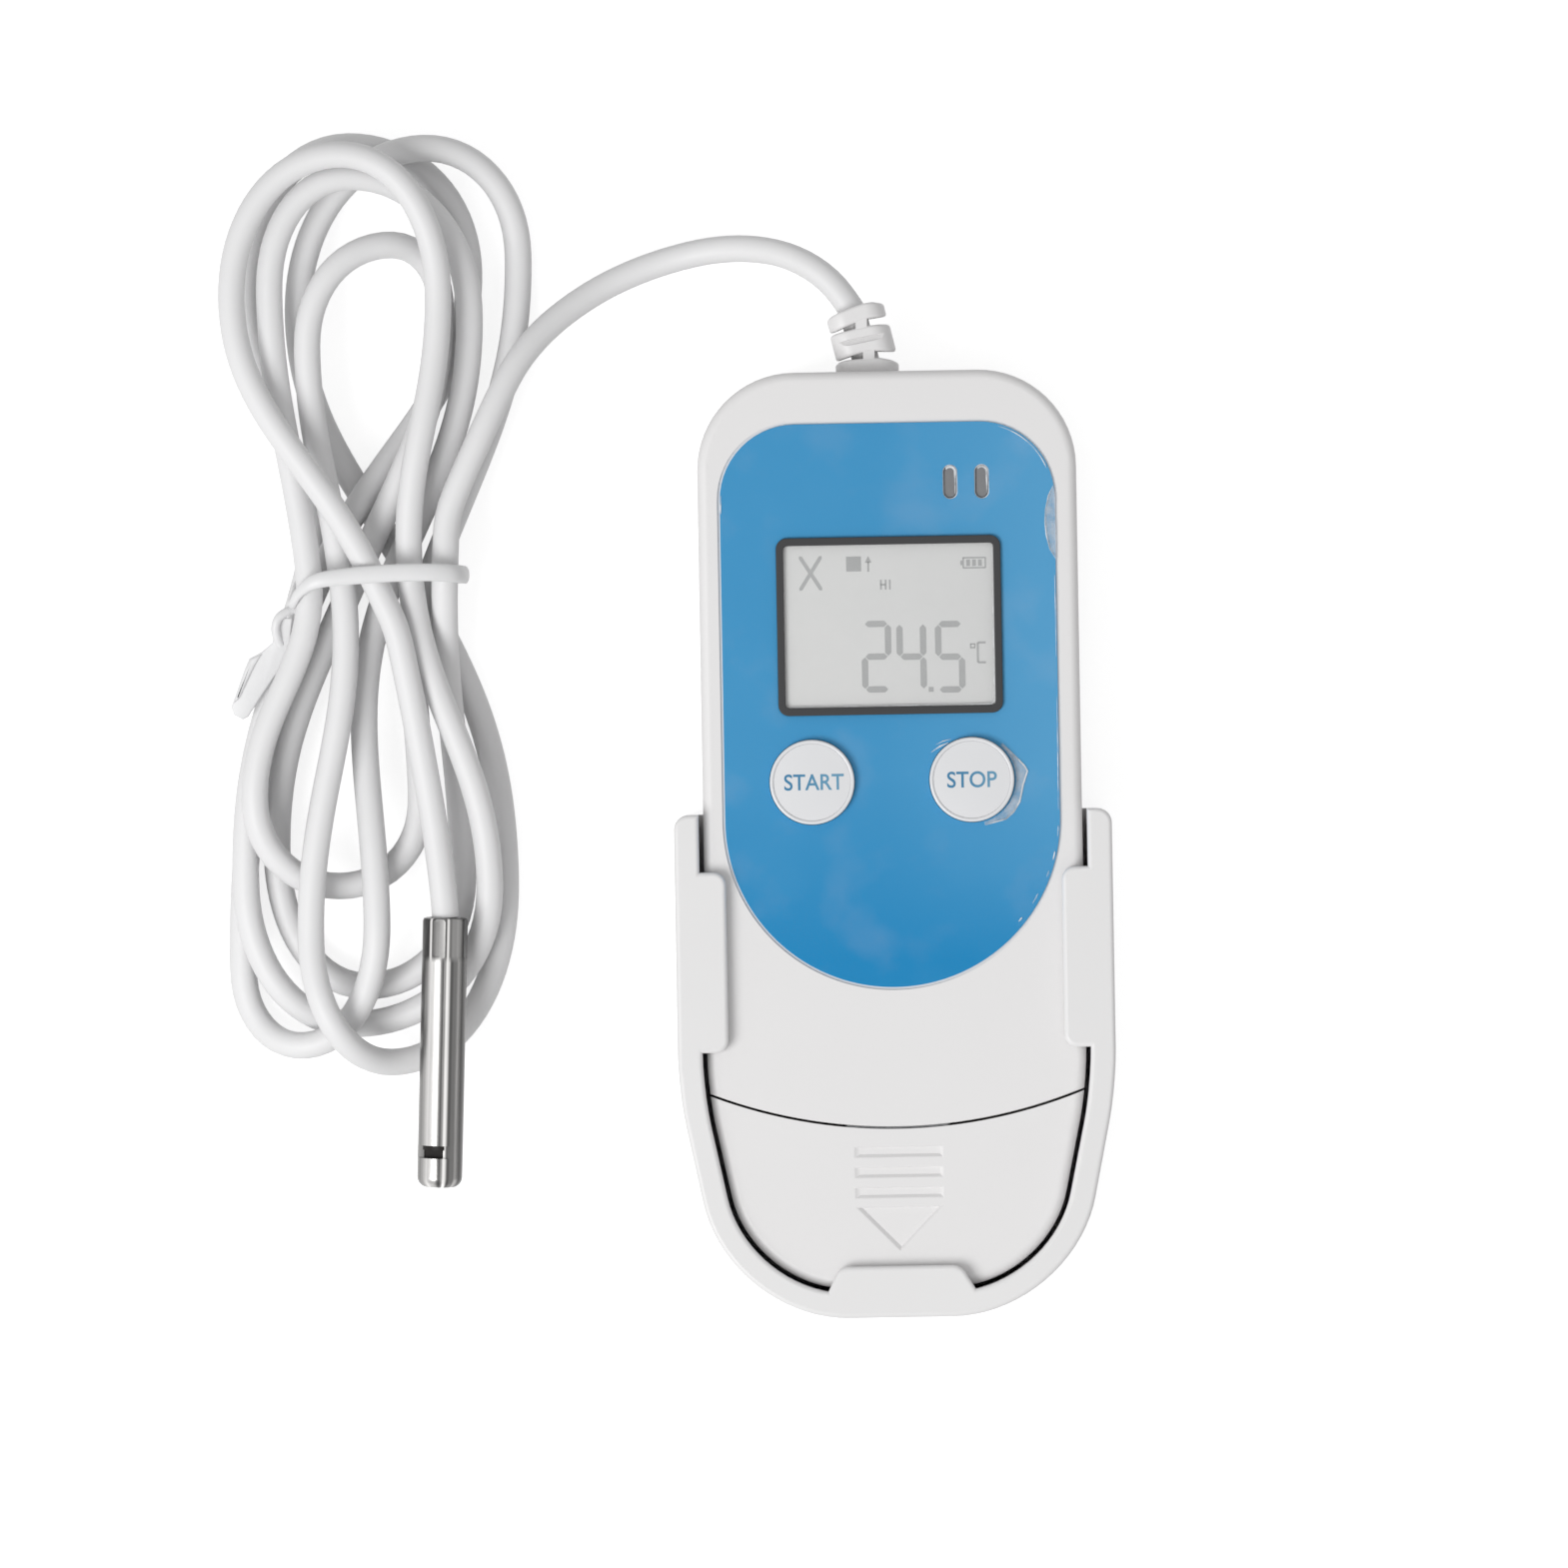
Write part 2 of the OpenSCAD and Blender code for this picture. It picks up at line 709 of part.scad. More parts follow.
// Cap of a button: a rim with a shallow dome inside it, a flange behind the wall and a stem.
module button(s) {
    r = button_d / 2;
    top = front_z + button_rise;
    dome_r = r - button_rim;
    color("ghostwhite") translate([s * button_x, button_y, 0]) {
        rotate_extrude($fn = 64) polygon(concat(
            [[0, plunger_top], [stem_r, plunger_top], [stem_r, inner_high_z - slip - flange_t],
             [flange_r, inner_high_z - slip - flange_t], [flange_r, inner_high_z - slip],
             [r, inner_high_z - slip], [r, top - button_rim / 2]],
            arc(r - button_rim / 2, top - button_rim / 2, button_rim / 2, 30, 180, 5),
            [[dome_r, top - button_dish]],
            [for (i = [3:-1:0]) [dome_r * i / 4, top - button_dish * pow(i / 4, 2)]]
        ));
    }
}

module plunger(s) {
    color("black") translate([s * button_x, button_y, plunger_z]) cylinder(r = plunger_r, h = plunger_h);
}

module start_button() {
    button(-1);
}

module start_plunger() {
    plunger(-1);
}

module stop_button() {
    button(1);
}

module stop_plunger() {
    plunger(1);
}

module coin_cell() {
    color("silver") translate([0, door_y, cell_z]) {
        cylinder(r = cell_d / 2 - cell_rim, h = cell_t, $fn = 96);
        translate([0, 0, cell_step]) cylinder(r = cell_d / 2, h = cell_t - cell_step, $fn = 96);
    }
}

module battery_holder() {
    r = cell_d / 2 + contact_t + fine;
    z = cell_z + cell_step;
    color("black") translate([0, door_y, z]) difference() {
        cylinder(r = r + holder_wall, h = board_z - z, $fn = 96);
        translate([0, 0, -over]) cylinder(r = r, h = cell_t + 2 * over, $fn = 96);
    }
}

module battery_contact() {
    color("gold") translate([0, door_y, board_z - contact_t]) difference() {
        cylinder(r = cell_d / 4, h = contact_t);
        translate([0, 0, -over]) cylinder(r = cell_d / 8, h = contact_t + 2 * over);
    }
}

module battery_spring() {
    r = cell_d / 2 + fine / 2;
    z = cell_z + cell_step;
    color("silver") for (s = button_side) translate([0, door_y, z]) rotate(s * 90 - 22)
        rotate_extrude(angle = 44, $fn = 96)
            translate([r, 0]) square([contact_t, board_z - z]);
}

module battery_door() {
    color("whitesmoke") translate([0, door_y, 0]) difference() {
        union() {
            translate([0, 0, door_disc_z]) cylinder(r = door_d / 2, h = door_t, $fn = 96);
            translate([0, 0, door_disc_z]) cylinder(r = neck_r, h = neck_top - door_disc_z, $fn = 96);
            translate([0, 0, lug_z]) door_lugs(lug_r, lug_angle, lug_t, 0);
        }
        box_at(0, 0, door_disc_z - over, coin_slot_len, coin_slot_w, coin_slot_deep + over);
    }
}

module door_seal() {
    r = door_d / 2 - slip;
    color("dimgray") translate([0, door_y, door_disc_z + door_t]) difference() {
        cylinder(r = r, h = door_gap - fine, $fn = 96);
        translate([0, 0, -over]) cylinder(r = r - seal_w, h = 3 * over, $fn = 96);
    }
}

module usb_shell() {
    w = usb_w - 2 * usb_wall;
    t = usb_t - 2 * usb_wall;
    color("silver") difference() {
        translate([-usb_w / 2, -usb_tip, mid_z - usb_t / 2]) cube([usb_w, usb_tip - usb_start, usb_t]);
        translate([-w / 2, -usb_tip - over, mid_z - t / 2]) cube([w, usb_tip - usb_start + 2 * over, t]);
    }
}

module usb_tongue() {
    w = usb_w - 2 * usb_wall - 2 * fine;
    t = usb_t - 2 * usb_wall - 2 * fine;
    low = mid_z + t / 2 - tongue_t;
    color("white") {
        translate([-w / 2, -usb_tip + usb_wall, low]) cube([w, usb_tip - usb_start - usb_wall, tongue_t]);
        translate([-w / 2, -seam_low, mid_z - t / 2]) cube([w, seam_low - usb_start, t - tongue_t]);
    }
}

module usb_contacts() {
    low = mid_z + usb_t / 2 - usb_wall - fine - tongue_t;
    len = usb_reach - usb_w / 4;
    color("gold") for (i = [0:finger_count - 1]) {
        x = (i - (finger_count - 1) / 2) * finger_pitch;
        translate([x - finger_w / 2, -seam_low - len, low - finger_t]) cube([finger_w, len - fine, finger_t]);
    }
}

module wire_socket() {
    y = housing_top - wall - gland_flange_t - 3 * board_gap - 2 * socket_len;
    color("white") translate([-gland_x - socket_w / 2, y, board_z - socket_t])
        cube([socket_w, socket_len, socket_t]);
}

module signal_wires() {
    start = housing_top - wall - gland_flange_t - fine;
    end = housing_top - wall - gland_flange_t - 3 * board_gap - socket_len;
    z = board_z - socket_t / 2;
    color("red") for (s = button_side)
        translate([-gland_x + s * wire_pitch / 2, end, z]) rotate([-90, 0, 0])
            cylinder(d = wire_d, h = start - end);
}

module usb_cap() {
    color("whitesmoke") difference() {
        body_solid();
        above_seam(-seam_gap);
        difference() {
            body_hollow(cap_wall);
            slab(inner_high_z, front_z);
        }
        for (i = [0:bar_count - 1])
            box_at(0, -bar_y - i * bar_pitch, front_z - mark_deep, mark_w, bar_h, mark_deep + over);
        plate([[-mark_w / 2, -arrow_y], [0, -arrow_y - arrow_h], [mark_w / 2, -arrow_y]],
            front_z - mark_deep, mark_deep + over);
    }
}

module cap_liner() {
    z = inner_low_z + liner_gap;
    t = inner_high_z - inner_low_z - 2 * liner_gap;
    color("gainsboro") difference() {
        translate([-liner_w / 2, -liner_end, z]) cube([liner_w, liner_end - liner_start, t]);
        translate([-usb_w / 2 - slip, -usb_tip - over, mid_z - usb_t / 2 - slip])
            cube([usb_w + 2 * slip, usb_tip, usb_t + 2 * slip]);
    }
}

// Plan of the bracket: the body's outline grown by gap and wall, cut off level at the arms' tops.
module bracket_plan(grow) {
    w = housing_w + 2 * grip;
    intersection() {
        polygon(body_outline(grow));
        translate([0, arm_top - housing_top]) polygon(rounded_rect(w, 2 * housing_top, arm_corner));
    }
}

module clip_pad(s) {
    w = grip + clip_reach;
    x = housing_w / 2 + grip - w / 2;
    translate([s * x, -clip_top - clip_len / 2]) polygon(rounded_rect(w, clip_len, clip_corner));
}

module lip_pad() {
    top = -cap_end - grip + lip_reach;
    low = -cap_end - grip + bracket_wall / 2;
    half = lip_w / 2;
    polygon([
        [-half - lip_slope, low], [-half - lip_corner / 2, top - lip_corner], [-half + lip_corner, top],
        [half - lip_corner, top], [half + lip_corner / 2, top - lip_corner], [half + lip_slope, low]
    ]);
}

module wall_bracket() {
    color("whitesmoke") difference() {
        union() {
            linear_extrude(plate_t) bracket_plan(grip);
            linear_extrude(rim_top) difference() {
                bracket_plan(grip);
                polygon(body_outline(bracket_gap));
            }
            translate([0, 0, rim_top - clip_t]) linear_extrude(clip_t) {
                intersection() {
                    bracket_plan(grip);
                    union() {
                        clip_pad(-1);
                        clip_pad(1);
                    }
                }
                lip_pad();
            }
        }
        for (s = button_side) translate([0, s * wall_hole_pitch / 2 - wall_hole_y, -over]) {
            cylinder(d = wall_hole_d, h = plate_t + 2 * over);
            translate([0, 0, over + plate_t - sink_h])
                cylinder(r1 = wall_hole_d / 2, r2 = sink_r, h = sink_h, $fn = 48);
            translate([0, 0, over + plate_t - fine]) cylinder(r = sink_r, h = over);
        }
    }
}

module cable_gland() {
    lean_len = gland_len - collar_h;
    last = len(ring_shares) - 1;
    color("whitesmoke") gland_place() {
        translate([0, 0, -wall - gland_flange_t]) {
            cylinder(r = gland_flange_r, h = gland_flange_t);
            cylinder(r = gland_neck_r, h = wall + gland_flange_t + collar_h);
        }
        translate([0, 0, fine]) linear_extrude(collar_h - fine)
            polygon(rounded_rect(gland_w, gland_w, ring_corner));
        translate([0, 0, collar_h]) rotate([0, -gland_lean, 0]) {
            cylinder(r = gland_core_r, h = lean_len);
            for (i = [0:last]) {
                w = gland_w * (1 - gland_taper_share * i / last);
                low = lean_len * ring_shares[i][0];
                before = i == 0 ? -web_w / 2 : lean_len * ring_shares[i - 1][1] - fine;
                translate([0, 0, low]) linear_extrude(lean_len * ring_shares[i][1] - low)
                    polygon(rounded_rect(w, w, ring_corner));
                for (x = i % 2 == 0 ? [0] : [-w / 2 + web_w / 2, w / 2 - web_w / 2])
                    box_at(x, 0, before, web_w, w * (i % 2 == 0 ? 1 : 0.6) * gland_depth_share,
                        low - before + fine);
            }
        }
    }
}

// Tube swept along a list of places. Each ring stands square to the way through its neighbours.
function unit(v) = v / norm(v);
function way(path, i) = unit(path[min(i + 1, len(path) - 1)] - path[max(i - 1, 0)]);
function ring_at(p, t, r, sides) = let (
        side = unit(cross(t, [0, 0, 1])),
        up = cross(side, t)
    ) [for (j = [0:sides - 1]) let (a = 360 * (j + 0.5) / sides) p + r * (cos(a) * side + sin(a) * up)];

module tube(path, d, sides) {
    n = len(path);
    points = [for (i = [0:n - 1]) for (q = ring_at(path[i], way(path, i), d / 2, sides)) q];
    polyhedron(points, concat(
        [for (j = [1:sides - 2]) [0, j, j + 1]],
        [for (j = [1:sides - 2]) [(n - 1) * sides, (n - 1) * sides + j + 1, (n - 1) * sides + j]],
        [for (i = [0:n - 2]) for (j = [0:sides - 1]) let (a = i * sides + j, b = i * sides + (j + 1) % sides)
            each [[a, a + sides, b + sides], [a, b + sides, b]]]
    ));
}

function bezier(p0, d0, p1, d1, pull, t) = let (
        c = p1 - p0,
        a = p0 + d0 * abs(c * d0) * pull,
        b = p1 - d1 * abs(c * d1) * pull
    ) pow(1 - t, 3) * p0 + 3 * pow(1 - t, 2) * t * a + 3 * (1 - t) * t * t * b + pow(t, 3) * p1;

// Plan of the hank: places with their directions, and whether an arc follows.
hank_knots = concat(
    [[[runs[0][0] + runs[0][1] * run_end, run_end], unit([-runs[0][1], -1]), false]],
    [for (i = [0:last_run]) let (r = runs[i], s = (i % 2 == 1) ? 1 : -1)
        each concat([[[r[0], 0], s * unit([r[1], 1]), false]], i == last_run ? [] : [
            [loops[i][0], [0, s], true],
            [loops[i][1], [sign(loops[i][2].x - loops[i][0].x), 0], true],
            [loops[i][2], [0, -s], false]
        ])],
    [[[runs[last_run][0] - runs[last_run][1] * run_end, -run_end], unit([-runs[last_run][1], -1]), false]]
);

// Heights of the hank against the number of the knot.
hank_heights = concat(
    [[0, runs[0][3]]],
    [for (i = [0:last_run]) let (r = runs[i], k = 1 + 4 * i)
        each concat([[k, r[4]]], i == last_run ? [] : let (z = loops[i][3], q = runs[i + 1]) [
            [k + 0.25, r[5]], [k + 0.5, r[6]], [k + 1, z[0]], [k + 1.5, z[1]], [k + 2, z[2]],
            [k + 2.5, z[3]], [k + 3, z[4]], [k + 3.5, q[2]], [k + 3.75, q[3]]
        ])],
    [[2 + 4 * last_run, runs[last_run][5]]]
);
top_height = len(hank_heights) - 1;
function height_slope(m) = let (a = hank_heights[max(0, m - 1)], b = hank_heights[min(top_height, m + 1)])
    (b[1] - a[1]) / (b[0] - a[0]);
function height_from(u, j) = let (
        a = hank_heights[j],
        b = hank_heights[j + 1],
        h = b[0] - a[0],
        t = (u - a[0]) / h
    ) (2 * pow(t, 3) - 3 * t * t + 1) * a[1] + (pow(t, 3) - 2 * t * t + t) * h * height_slope(j)
    + (3 * t * t - 2 * pow(t, 3)) * b[1] + (pow(t, 3) - t * t) * h * height_slope(j + 1);
function hank_height(u) =
    height_from(u, min(top_height - 1, max([for (j = [0:top_height]) hank_heights[j][0] <= u ? j : 0])));

function hank_path(steps) = [
    for (i = [0:len(hank_knots) - 2]) let (
        a = hank_knots[i],
        b = hank_knots[i + 1],
        pull = a[2] ? arc_pull : leg_pull,
        last = i == len(hank_knots) - 2
    ) for (m = [0:steps - (last ? 0 : 1)]) let (
        t = m / steps,
        q = bezier(a[0], a[1], b[0], b[1], pull, t)
    ) hank_at + [q.x, q.y, hank_height(i + t)]
];

// Least gap of the cable to itself in the hank, between places far apart along it.
gap_steps = 8;
gap_skip = 9;
hank_check = hank_path(gap_steps);
hank_gap = min([for (i = [0:len(hank_check) - gap_skip - 1]) for (j = [i + gap_skip:len(hank_check) - 1])
    norm(hank_check[i] - hank_check[j])]) - cable_d;
hank_length = let (steps = [for (i = [1:len(hank_check) - 1]) norm(hank_check[i] - hank_check[i - 1])])
    steps * [for (s = steps) 1];
echo(hank_gap = hank_gap, hank_length = hank_length);

module cable_lead() {
    color("white") tube(lead_points, cable_d, cable_sides);
}

module cable_hank() {
    color("white") tube(hank_path(leg_rings), cable_d, ring_sides);
}

module cable_tail() {
    color("white") tube(tail_points, cable_d, cable_sides);
}

module cable_tie() {
    w = tie_right - tie_left + 2 * tie_t;
    h = tie_high - tie_low;
    color("white") translate(hank_at) {
        translate([(tie_left + tie_right) / 2, 0, (tie_low + tie_high) / 2]) rotate([90, 0, 0])
            translate([0, 0, -tie_w / 2]) linear_extrude(tie_w) difference() {
                polygon(rounded_rect(w, h, tie_corner));
                polygon(rounded_rect(w - 2 * tie_t, h - 2 * tie_t, tie_corner - tie_t));
            }
        for (i = [0:len(tie_tail) - 2]) hull() {
            translate(tie_tail[i]) cube([tail_strip_w, tail_strip_t, tail_strip_t], center = true);
            translate(tie_tail[i + 1]) cube([tail_strip_w, tail_strip_t, tail_strip_t], center = true);
        }
        hull() {
            translate([tie_left - tie_t / 2, -tie_w / 2 + tie_t / 2, tie_tail[0].z])
                sphere(tie_t / 2, $fn = 12);
            translate(tie_tail[0]) sphere(tie_twist_r, $fn = 12);
        }
    }
}

module at_probe() {
    translate(probe_at) rotate([0, 0, -probe_turn]) rotate([90 + probe_dip, 0, 0]) children();
}

module probe_tube() {
    r = probe_d / 2;
    color("silver") at_probe() difference() {
        union() {
            rotate_extrude($fn = 64) polygon(concat(
                [[0, crimp_len], [r, crimp_len]],
                arc(r - tip_r, probe_len - tip_r, tip_r, 0, 90, 5),
                [[0, probe_len]]
            ));
            linear_extrude(crimp_len) polygon(rounded_rect(crimp_w, crimp_w, probe_wall));
        }
        translate([0, 0, -over]) cylinder(r = cable_d / 2 + fine, h = crimp_len + over);
        translate([0, 0, crimp_len - fine]) cylinder(r = r - probe_wall, h = probe_len - crimp_len - tip_r);
        translate([-probe_d, r - vent_deep, probe_len - vent_from_tip]) cube([2 * probe_d, probe_d, vent_w]);
    }
}

module probe_bead() {
    color("black") at_probe() translate([0, 0, probe_len - tip_r - bead_from_tip - bead_len])
        cylinder(r = bead_r, h = bead_len);
}

module probe_filling() {
    r = probe_d / 2 - probe_wall - fine;
    top = crimp_len + fine;
    bottom = probe_len - vent_from_tip - 2 * fine;
    bead_top = probe_len - tip_r - bead_from_tip - bead_len;
    color("saddlebrown") at_probe() difference() {
        translate([0, 0, top]) cylinder(r = r, h = bottom - top);
        translate([0, 0, bead_top - fine]) cylinder(r = bead_r + fine, h = bead_len + over);
    }
}

front_shell();
back_shell();
housing_gasket();
housing_screws();
front_label();
protective_film();
lcd_frame();
lcd_window();
lcd_glass();
lcd_reflector();
lcd_carrier();
zebra_strips();
circuit_board();
control_chip();
memory_chip();
clock_crystal();
chip_capacitors();
indicator_leds();
light_guides();
switch_bodies();
coin_cell();
battery_holder();
battery_contact();
battery_spring();
usb_shell();
usb_tongue();
usb_contacts();
wire_socket();
signal_wires();
start_button();
start_plunger();
stop_button();
stop_plunger();
battery_door();
door_seal();
usb_cap();
cap_liner();
wall_bracket();
cable_gland();
cable_lead();
cable_hank();
cable_tie();
cable_tail();
probe_tube();
probe_bead();
probe_filling();
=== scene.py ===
from math import atan, cos, hypot, pi, radians, sin, tan
import bmesh
import bpy
from mathutils import Matrix, Vector


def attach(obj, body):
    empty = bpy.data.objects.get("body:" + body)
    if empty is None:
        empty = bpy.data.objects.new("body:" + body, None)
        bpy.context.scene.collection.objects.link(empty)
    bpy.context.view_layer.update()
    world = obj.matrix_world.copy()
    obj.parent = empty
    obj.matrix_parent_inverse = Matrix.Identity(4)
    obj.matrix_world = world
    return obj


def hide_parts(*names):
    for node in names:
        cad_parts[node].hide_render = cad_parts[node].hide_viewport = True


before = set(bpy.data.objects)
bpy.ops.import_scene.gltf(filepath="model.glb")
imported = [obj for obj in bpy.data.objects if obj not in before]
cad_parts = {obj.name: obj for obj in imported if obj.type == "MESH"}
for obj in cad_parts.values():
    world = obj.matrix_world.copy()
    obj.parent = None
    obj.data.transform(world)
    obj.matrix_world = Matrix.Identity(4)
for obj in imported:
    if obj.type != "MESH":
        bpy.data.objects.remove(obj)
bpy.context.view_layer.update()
print("frame loaded:", len(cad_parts), "nodes")

# Shapes are drawn in millimetres and brought to metres when they become an object.
mm = 0.001
scene = bpy.context.scene
scene.view_settings.view_transform = "Standard"


def addObject(name, data):
    made = bpy.data.objects.new(name, data)
    scene.collection.objects.link(made)
    return made


camera = {
    "centre": (-11.97, 6.86),
    "width": 173.9,  # what the frame shows across, at the height below
    "atHeight": 12,
    "distance": 3000,
    "turn": -1,  # degrees
    "sensor": 36,
    "clipEnd": 20,
}


def makeCamera():
    data = bpy.data.cameras.new("productCamera")
    data.sensor_width = camera["sensor"]
    data.lens = camera["sensor"] * camera["distance"] / camera["width"]
    data.clip_end = camera["clipEnd"]
    scene.camera = addObject("productCamera", data)
    scene.camera.location = Vector((*camera["centre"], camera["distance"] + camera["atHeight"])) * mm
    scene.camera.rotation_euler = (0, 0, radians(camera["turn"]))


makeCamera()


# Materials.
def addNode(tree, kind, inputs=None, **settings):
    made = tree.nodes.new(kind)
    for key, value in settings.items():
        setattr(made, key, value)
    for key, value in (inputs or {}).items():
        if isinstance(value, bpy.types.NodeSocket):
            tree.links.new(value, made.inputs[key])
        else:
            made.inputs[key].default_value = value
    return made


def objectPlace(tree):
    return addNode(tree, "ShaderNodeTexCoord").outputs["Object"]


def axis(tree, place, name):
    return addNode(tree, "ShaderNodeSeparateXYZ", {0: place}).outputs[name]


def calculated(tree, operation, *values, **settings):
    made = addNode(tree, "ShaderNodeMath", dict(enumerate(values)), operation=operation, **settings)
    return made.outputs[0]


def mapped(tree, value, low, high, toLow=0, toHigh=1):
    limits = {0: value, 1: low, 2: high, 3: toLow, 4: toHigh}
    return addNode(tree, "ShaderNodeMapRange", limits).outputs[0]


def scaled(tree, vector, factor):
    made = addNode(tree, "ShaderNodeVectorMath", {0: vector, "Scale": factor}, operation="SCALE")
    return made.outputs["Vector"]


def mixed(tree, share, low, high):
    return addNode(tree, "ShaderNodeMix", {0: share, 6: low, 7: high}, data_type="RGBA").outputs[2]


def noise(tree, place, scale, detail, **more):
    values = {"Vector": place, "Scale": scale, "Detail": detail, **more}
    return addNode(tree, "ShaderNodeTexNoise", values).outputs["Fac"]


def ramp(tree, share, stops):
    made = addNode(tree, "ShaderNodeValToRGB", {"Fac": share})
    elements = made.color_ramp.elements
    while len(elements) < len(stops):
        elements.new(0.5)
    for element, (at, colour) in zip(elements, stops):
        element.position = at
        element.color = (*colour, 1)
    return made.outputs["Color"]


grainInputs = [
    ("Colour", "NodeSocketColor", (0.8, 0.8, 0.8, 1)), ("Patch Tone", "NodeSocketFloat", 0.04),
    ("Patch Scale", "NodeSocketFloat", 60), ("Grain Scale", "NodeSocketFloat", 5000),
    ("Grain Depth", "NodeSocketFloat", 0.1), ("Roughness", "NodeSocketFloat", 0.45),
    ("Roughness Spread", "NodeSocketFloat", 0.1),
]
grainOutputs = [
    ("Colour", "NodeSocketColor"), ("Roughness", "NodeSocketFloat"), ("Normal", "NodeSocketVector"),
]


def makeGrainGroup():
    group = bpy.data.node_groups.new("mouldedGrain", "ShaderNodeTree")
    for name, kind, value in grainInputs:
        socket = group.interface.new_socket(name=name, in_out="INPUT", socket_type=kind)
        socket.default_value = value
    for name, kind in grainOutputs:
        group.interface.new_socket(name=name, in_out="OUTPUT", socket_type=kind)
    given = group.nodes.new("NodeGroupInput").outputs
    out = group.nodes.new("NodeGroupOutput").inputs
    place = objectPlace(group)
    patch = noise(group, place, given["Patch Scale"], 3, Roughness=0.6)
    grain = noise(group, place, given["Grain Scale"], 2)
    centred = calculated(group, "SUBTRACT", patch, 0.5)
    tone = calculated(group, "MULTIPLY_ADD", centred, given["Patch Tone"], 1)
    rough = calculated(group, "MULTIPLY_ADD", centred, given["Roughness Spread"], given["Roughness"])
    relief = {"Height": grain, "Strength": given["Grain Depth"], "Distance": 0.00005}
    group.links.new(scaled(group, given["Colour"], tone), out["Colour"])
    group.links.new(rough, out["Roughness"])
    group.links.new(addNode(group, "ShaderNodeBump", relief).outputs["Normal"], out["Normal"])
    return group


grainGroup = makeGrainGroup()
materials = {}


def newMaterial(name, constants=None):
    materials[name] = bpy.data.materials.new(name)
    materials[name].use_nodes = True
    tree = materials[name].node_tree
    shader = tree.nodes["Principled BSDF"]
    for key, value in (constants or {}).items():
        shader.inputs[key].default_value = value
    return tree, shader


def addGrain(tree, shader, colour, roughness, tone, patch, grain, depth):
    if not isinstance(colour, bpy.types.NodeSocket):
        colour = (*colour, 1)
    made = addNode(tree, "ShaderNodeGroup", {
        "Colour": colour, "Patch Tone": tone, "Patch Scale": patch, "Grain Scale": grain,
        "Grain Depth": depth, "Roughness": roughness,
    }, node_tree=grainGroup)
    for source, target in (("Colour", "Base Color"), ("Roughness", "Roughness"), ("Normal", "Normal")):
        tree.links.new(made.outputs[source], shader.inputs[target])


# Colour, roughness, tone of the patches, patch scale, grain scale, grain depth, then constants.
finishes = {
    "housingWhite": ((0.77, 0.762, 0.762), 0.42, 0.03, 45, 5200, 0.16, {"IOR": 1.46}),
    "bracketWhite": ((0.765, 0.76, 0.76), 0.4, 0.03, 55, 4600, 0.14, {"IOR": 1.46}),
    "buttonWhite": (
        (0.725, 0.73, 0.745), 0.3, 0.05, 160, 4200, 0.06, {"Coat Weight": 0.15, "Coat Roughness": 0.25},
    ),
    "cableWhite": ((0.77, 0.768, 0.772), 0.5, 0.06, 90, 3500, 0.12, {"IOR": 1.45}),
    "tieWhite": ((0.75, 0.75, 0.755), 0.42, 0.08, 260, 2600, 0.2, {}),
    "frameGrey": ((0.034, 0.034, 0.036), 0.5, 0.1, 150, 5200, 0.15, {"Specular IOR Level": 0.35}),
    "segmentGrey": ((0.35, 0.355, 0.355), 0.4, 0.1, 500, 4200, 0.04, {}),
    "guideGrey": ((0.2, 0.2, 0.205), 0.3, 0.15, 500, 3000, 0.08, {}),
    "sealRubber": ((0.09, 0.09, 0.095), 0.65, 0.1, 120, 3500, 0.3, {}),
    "zebraRubber": ((0.11, 0.11, 0.115), 0.6, 0.1, 120, 3500, 0.3, {}),
    "blackPlastic": ((0.025, 0.025, 0.027), 0.42, 0.12, 200, 4000, 0.15, {}),
    "carrierWhite": ((0.7, 0.7, 0.69), 0.5, 0.05, 90, 3000, 0.12, {}),
    "chipBlack": ((0.03, 0.03, 0.032), 0.55, 0.15, 400, 9000, 0.3, {}),
    "capacitorTan": ((0.45, 0.32, 0.2), 0.4, 0.12, 700, 6000, 0.2, {}),
    "ledYellow": ((0.75, 0.72, 0.45), 0.25, 0.1, 900, 5000, 0.06, {"Coat Weight": 0.3}),
    "silverFilm": ((0.8, 0.8, 0.8), 0.28, 0.1, 200, 3000, 0.1, {"Metallic": 1}),
    "cellSteel": ((0.7, 0.7, 0.69), 0.3, 0.1, 130, 2600, 0.2, {"Metallic": 1}),
    "platedSteel": ((0.66, 0.67, 0.69), 0.26, 0.12, 160, 2600, 0.16, {"Metallic": 1}),
    "screwSteel": ((0.55, 0.55, 0.56), 0.33, 0.15, 300, 2600, 0.2, {"Metallic": 1}),
    "contactGold": ((0.83, 0.6, 0.24), 0.26, 0.12, 300, 3000, 0.12, {"Metallic": 1}),
    "wireRed": ((0.5, 0.03, 0.02), 0.42, 0.1, 300, 3000, 0.12, {}),
    "resinBlack": ((0.012, 0.01, 0.009), 0.5, 0.2, 400, 2500, 0.2, {"Specular IOR Level": 0.2}),
    "beadBlack": ((0.02, 0.02, 0.02), 0.35, 0.2, 600, 4000, 0.2, {}),
}
for finishName, (*surface, finishConstants) in finishes.items():
    addGrain(*newMaterial(finishName, finishConstants), *surface)

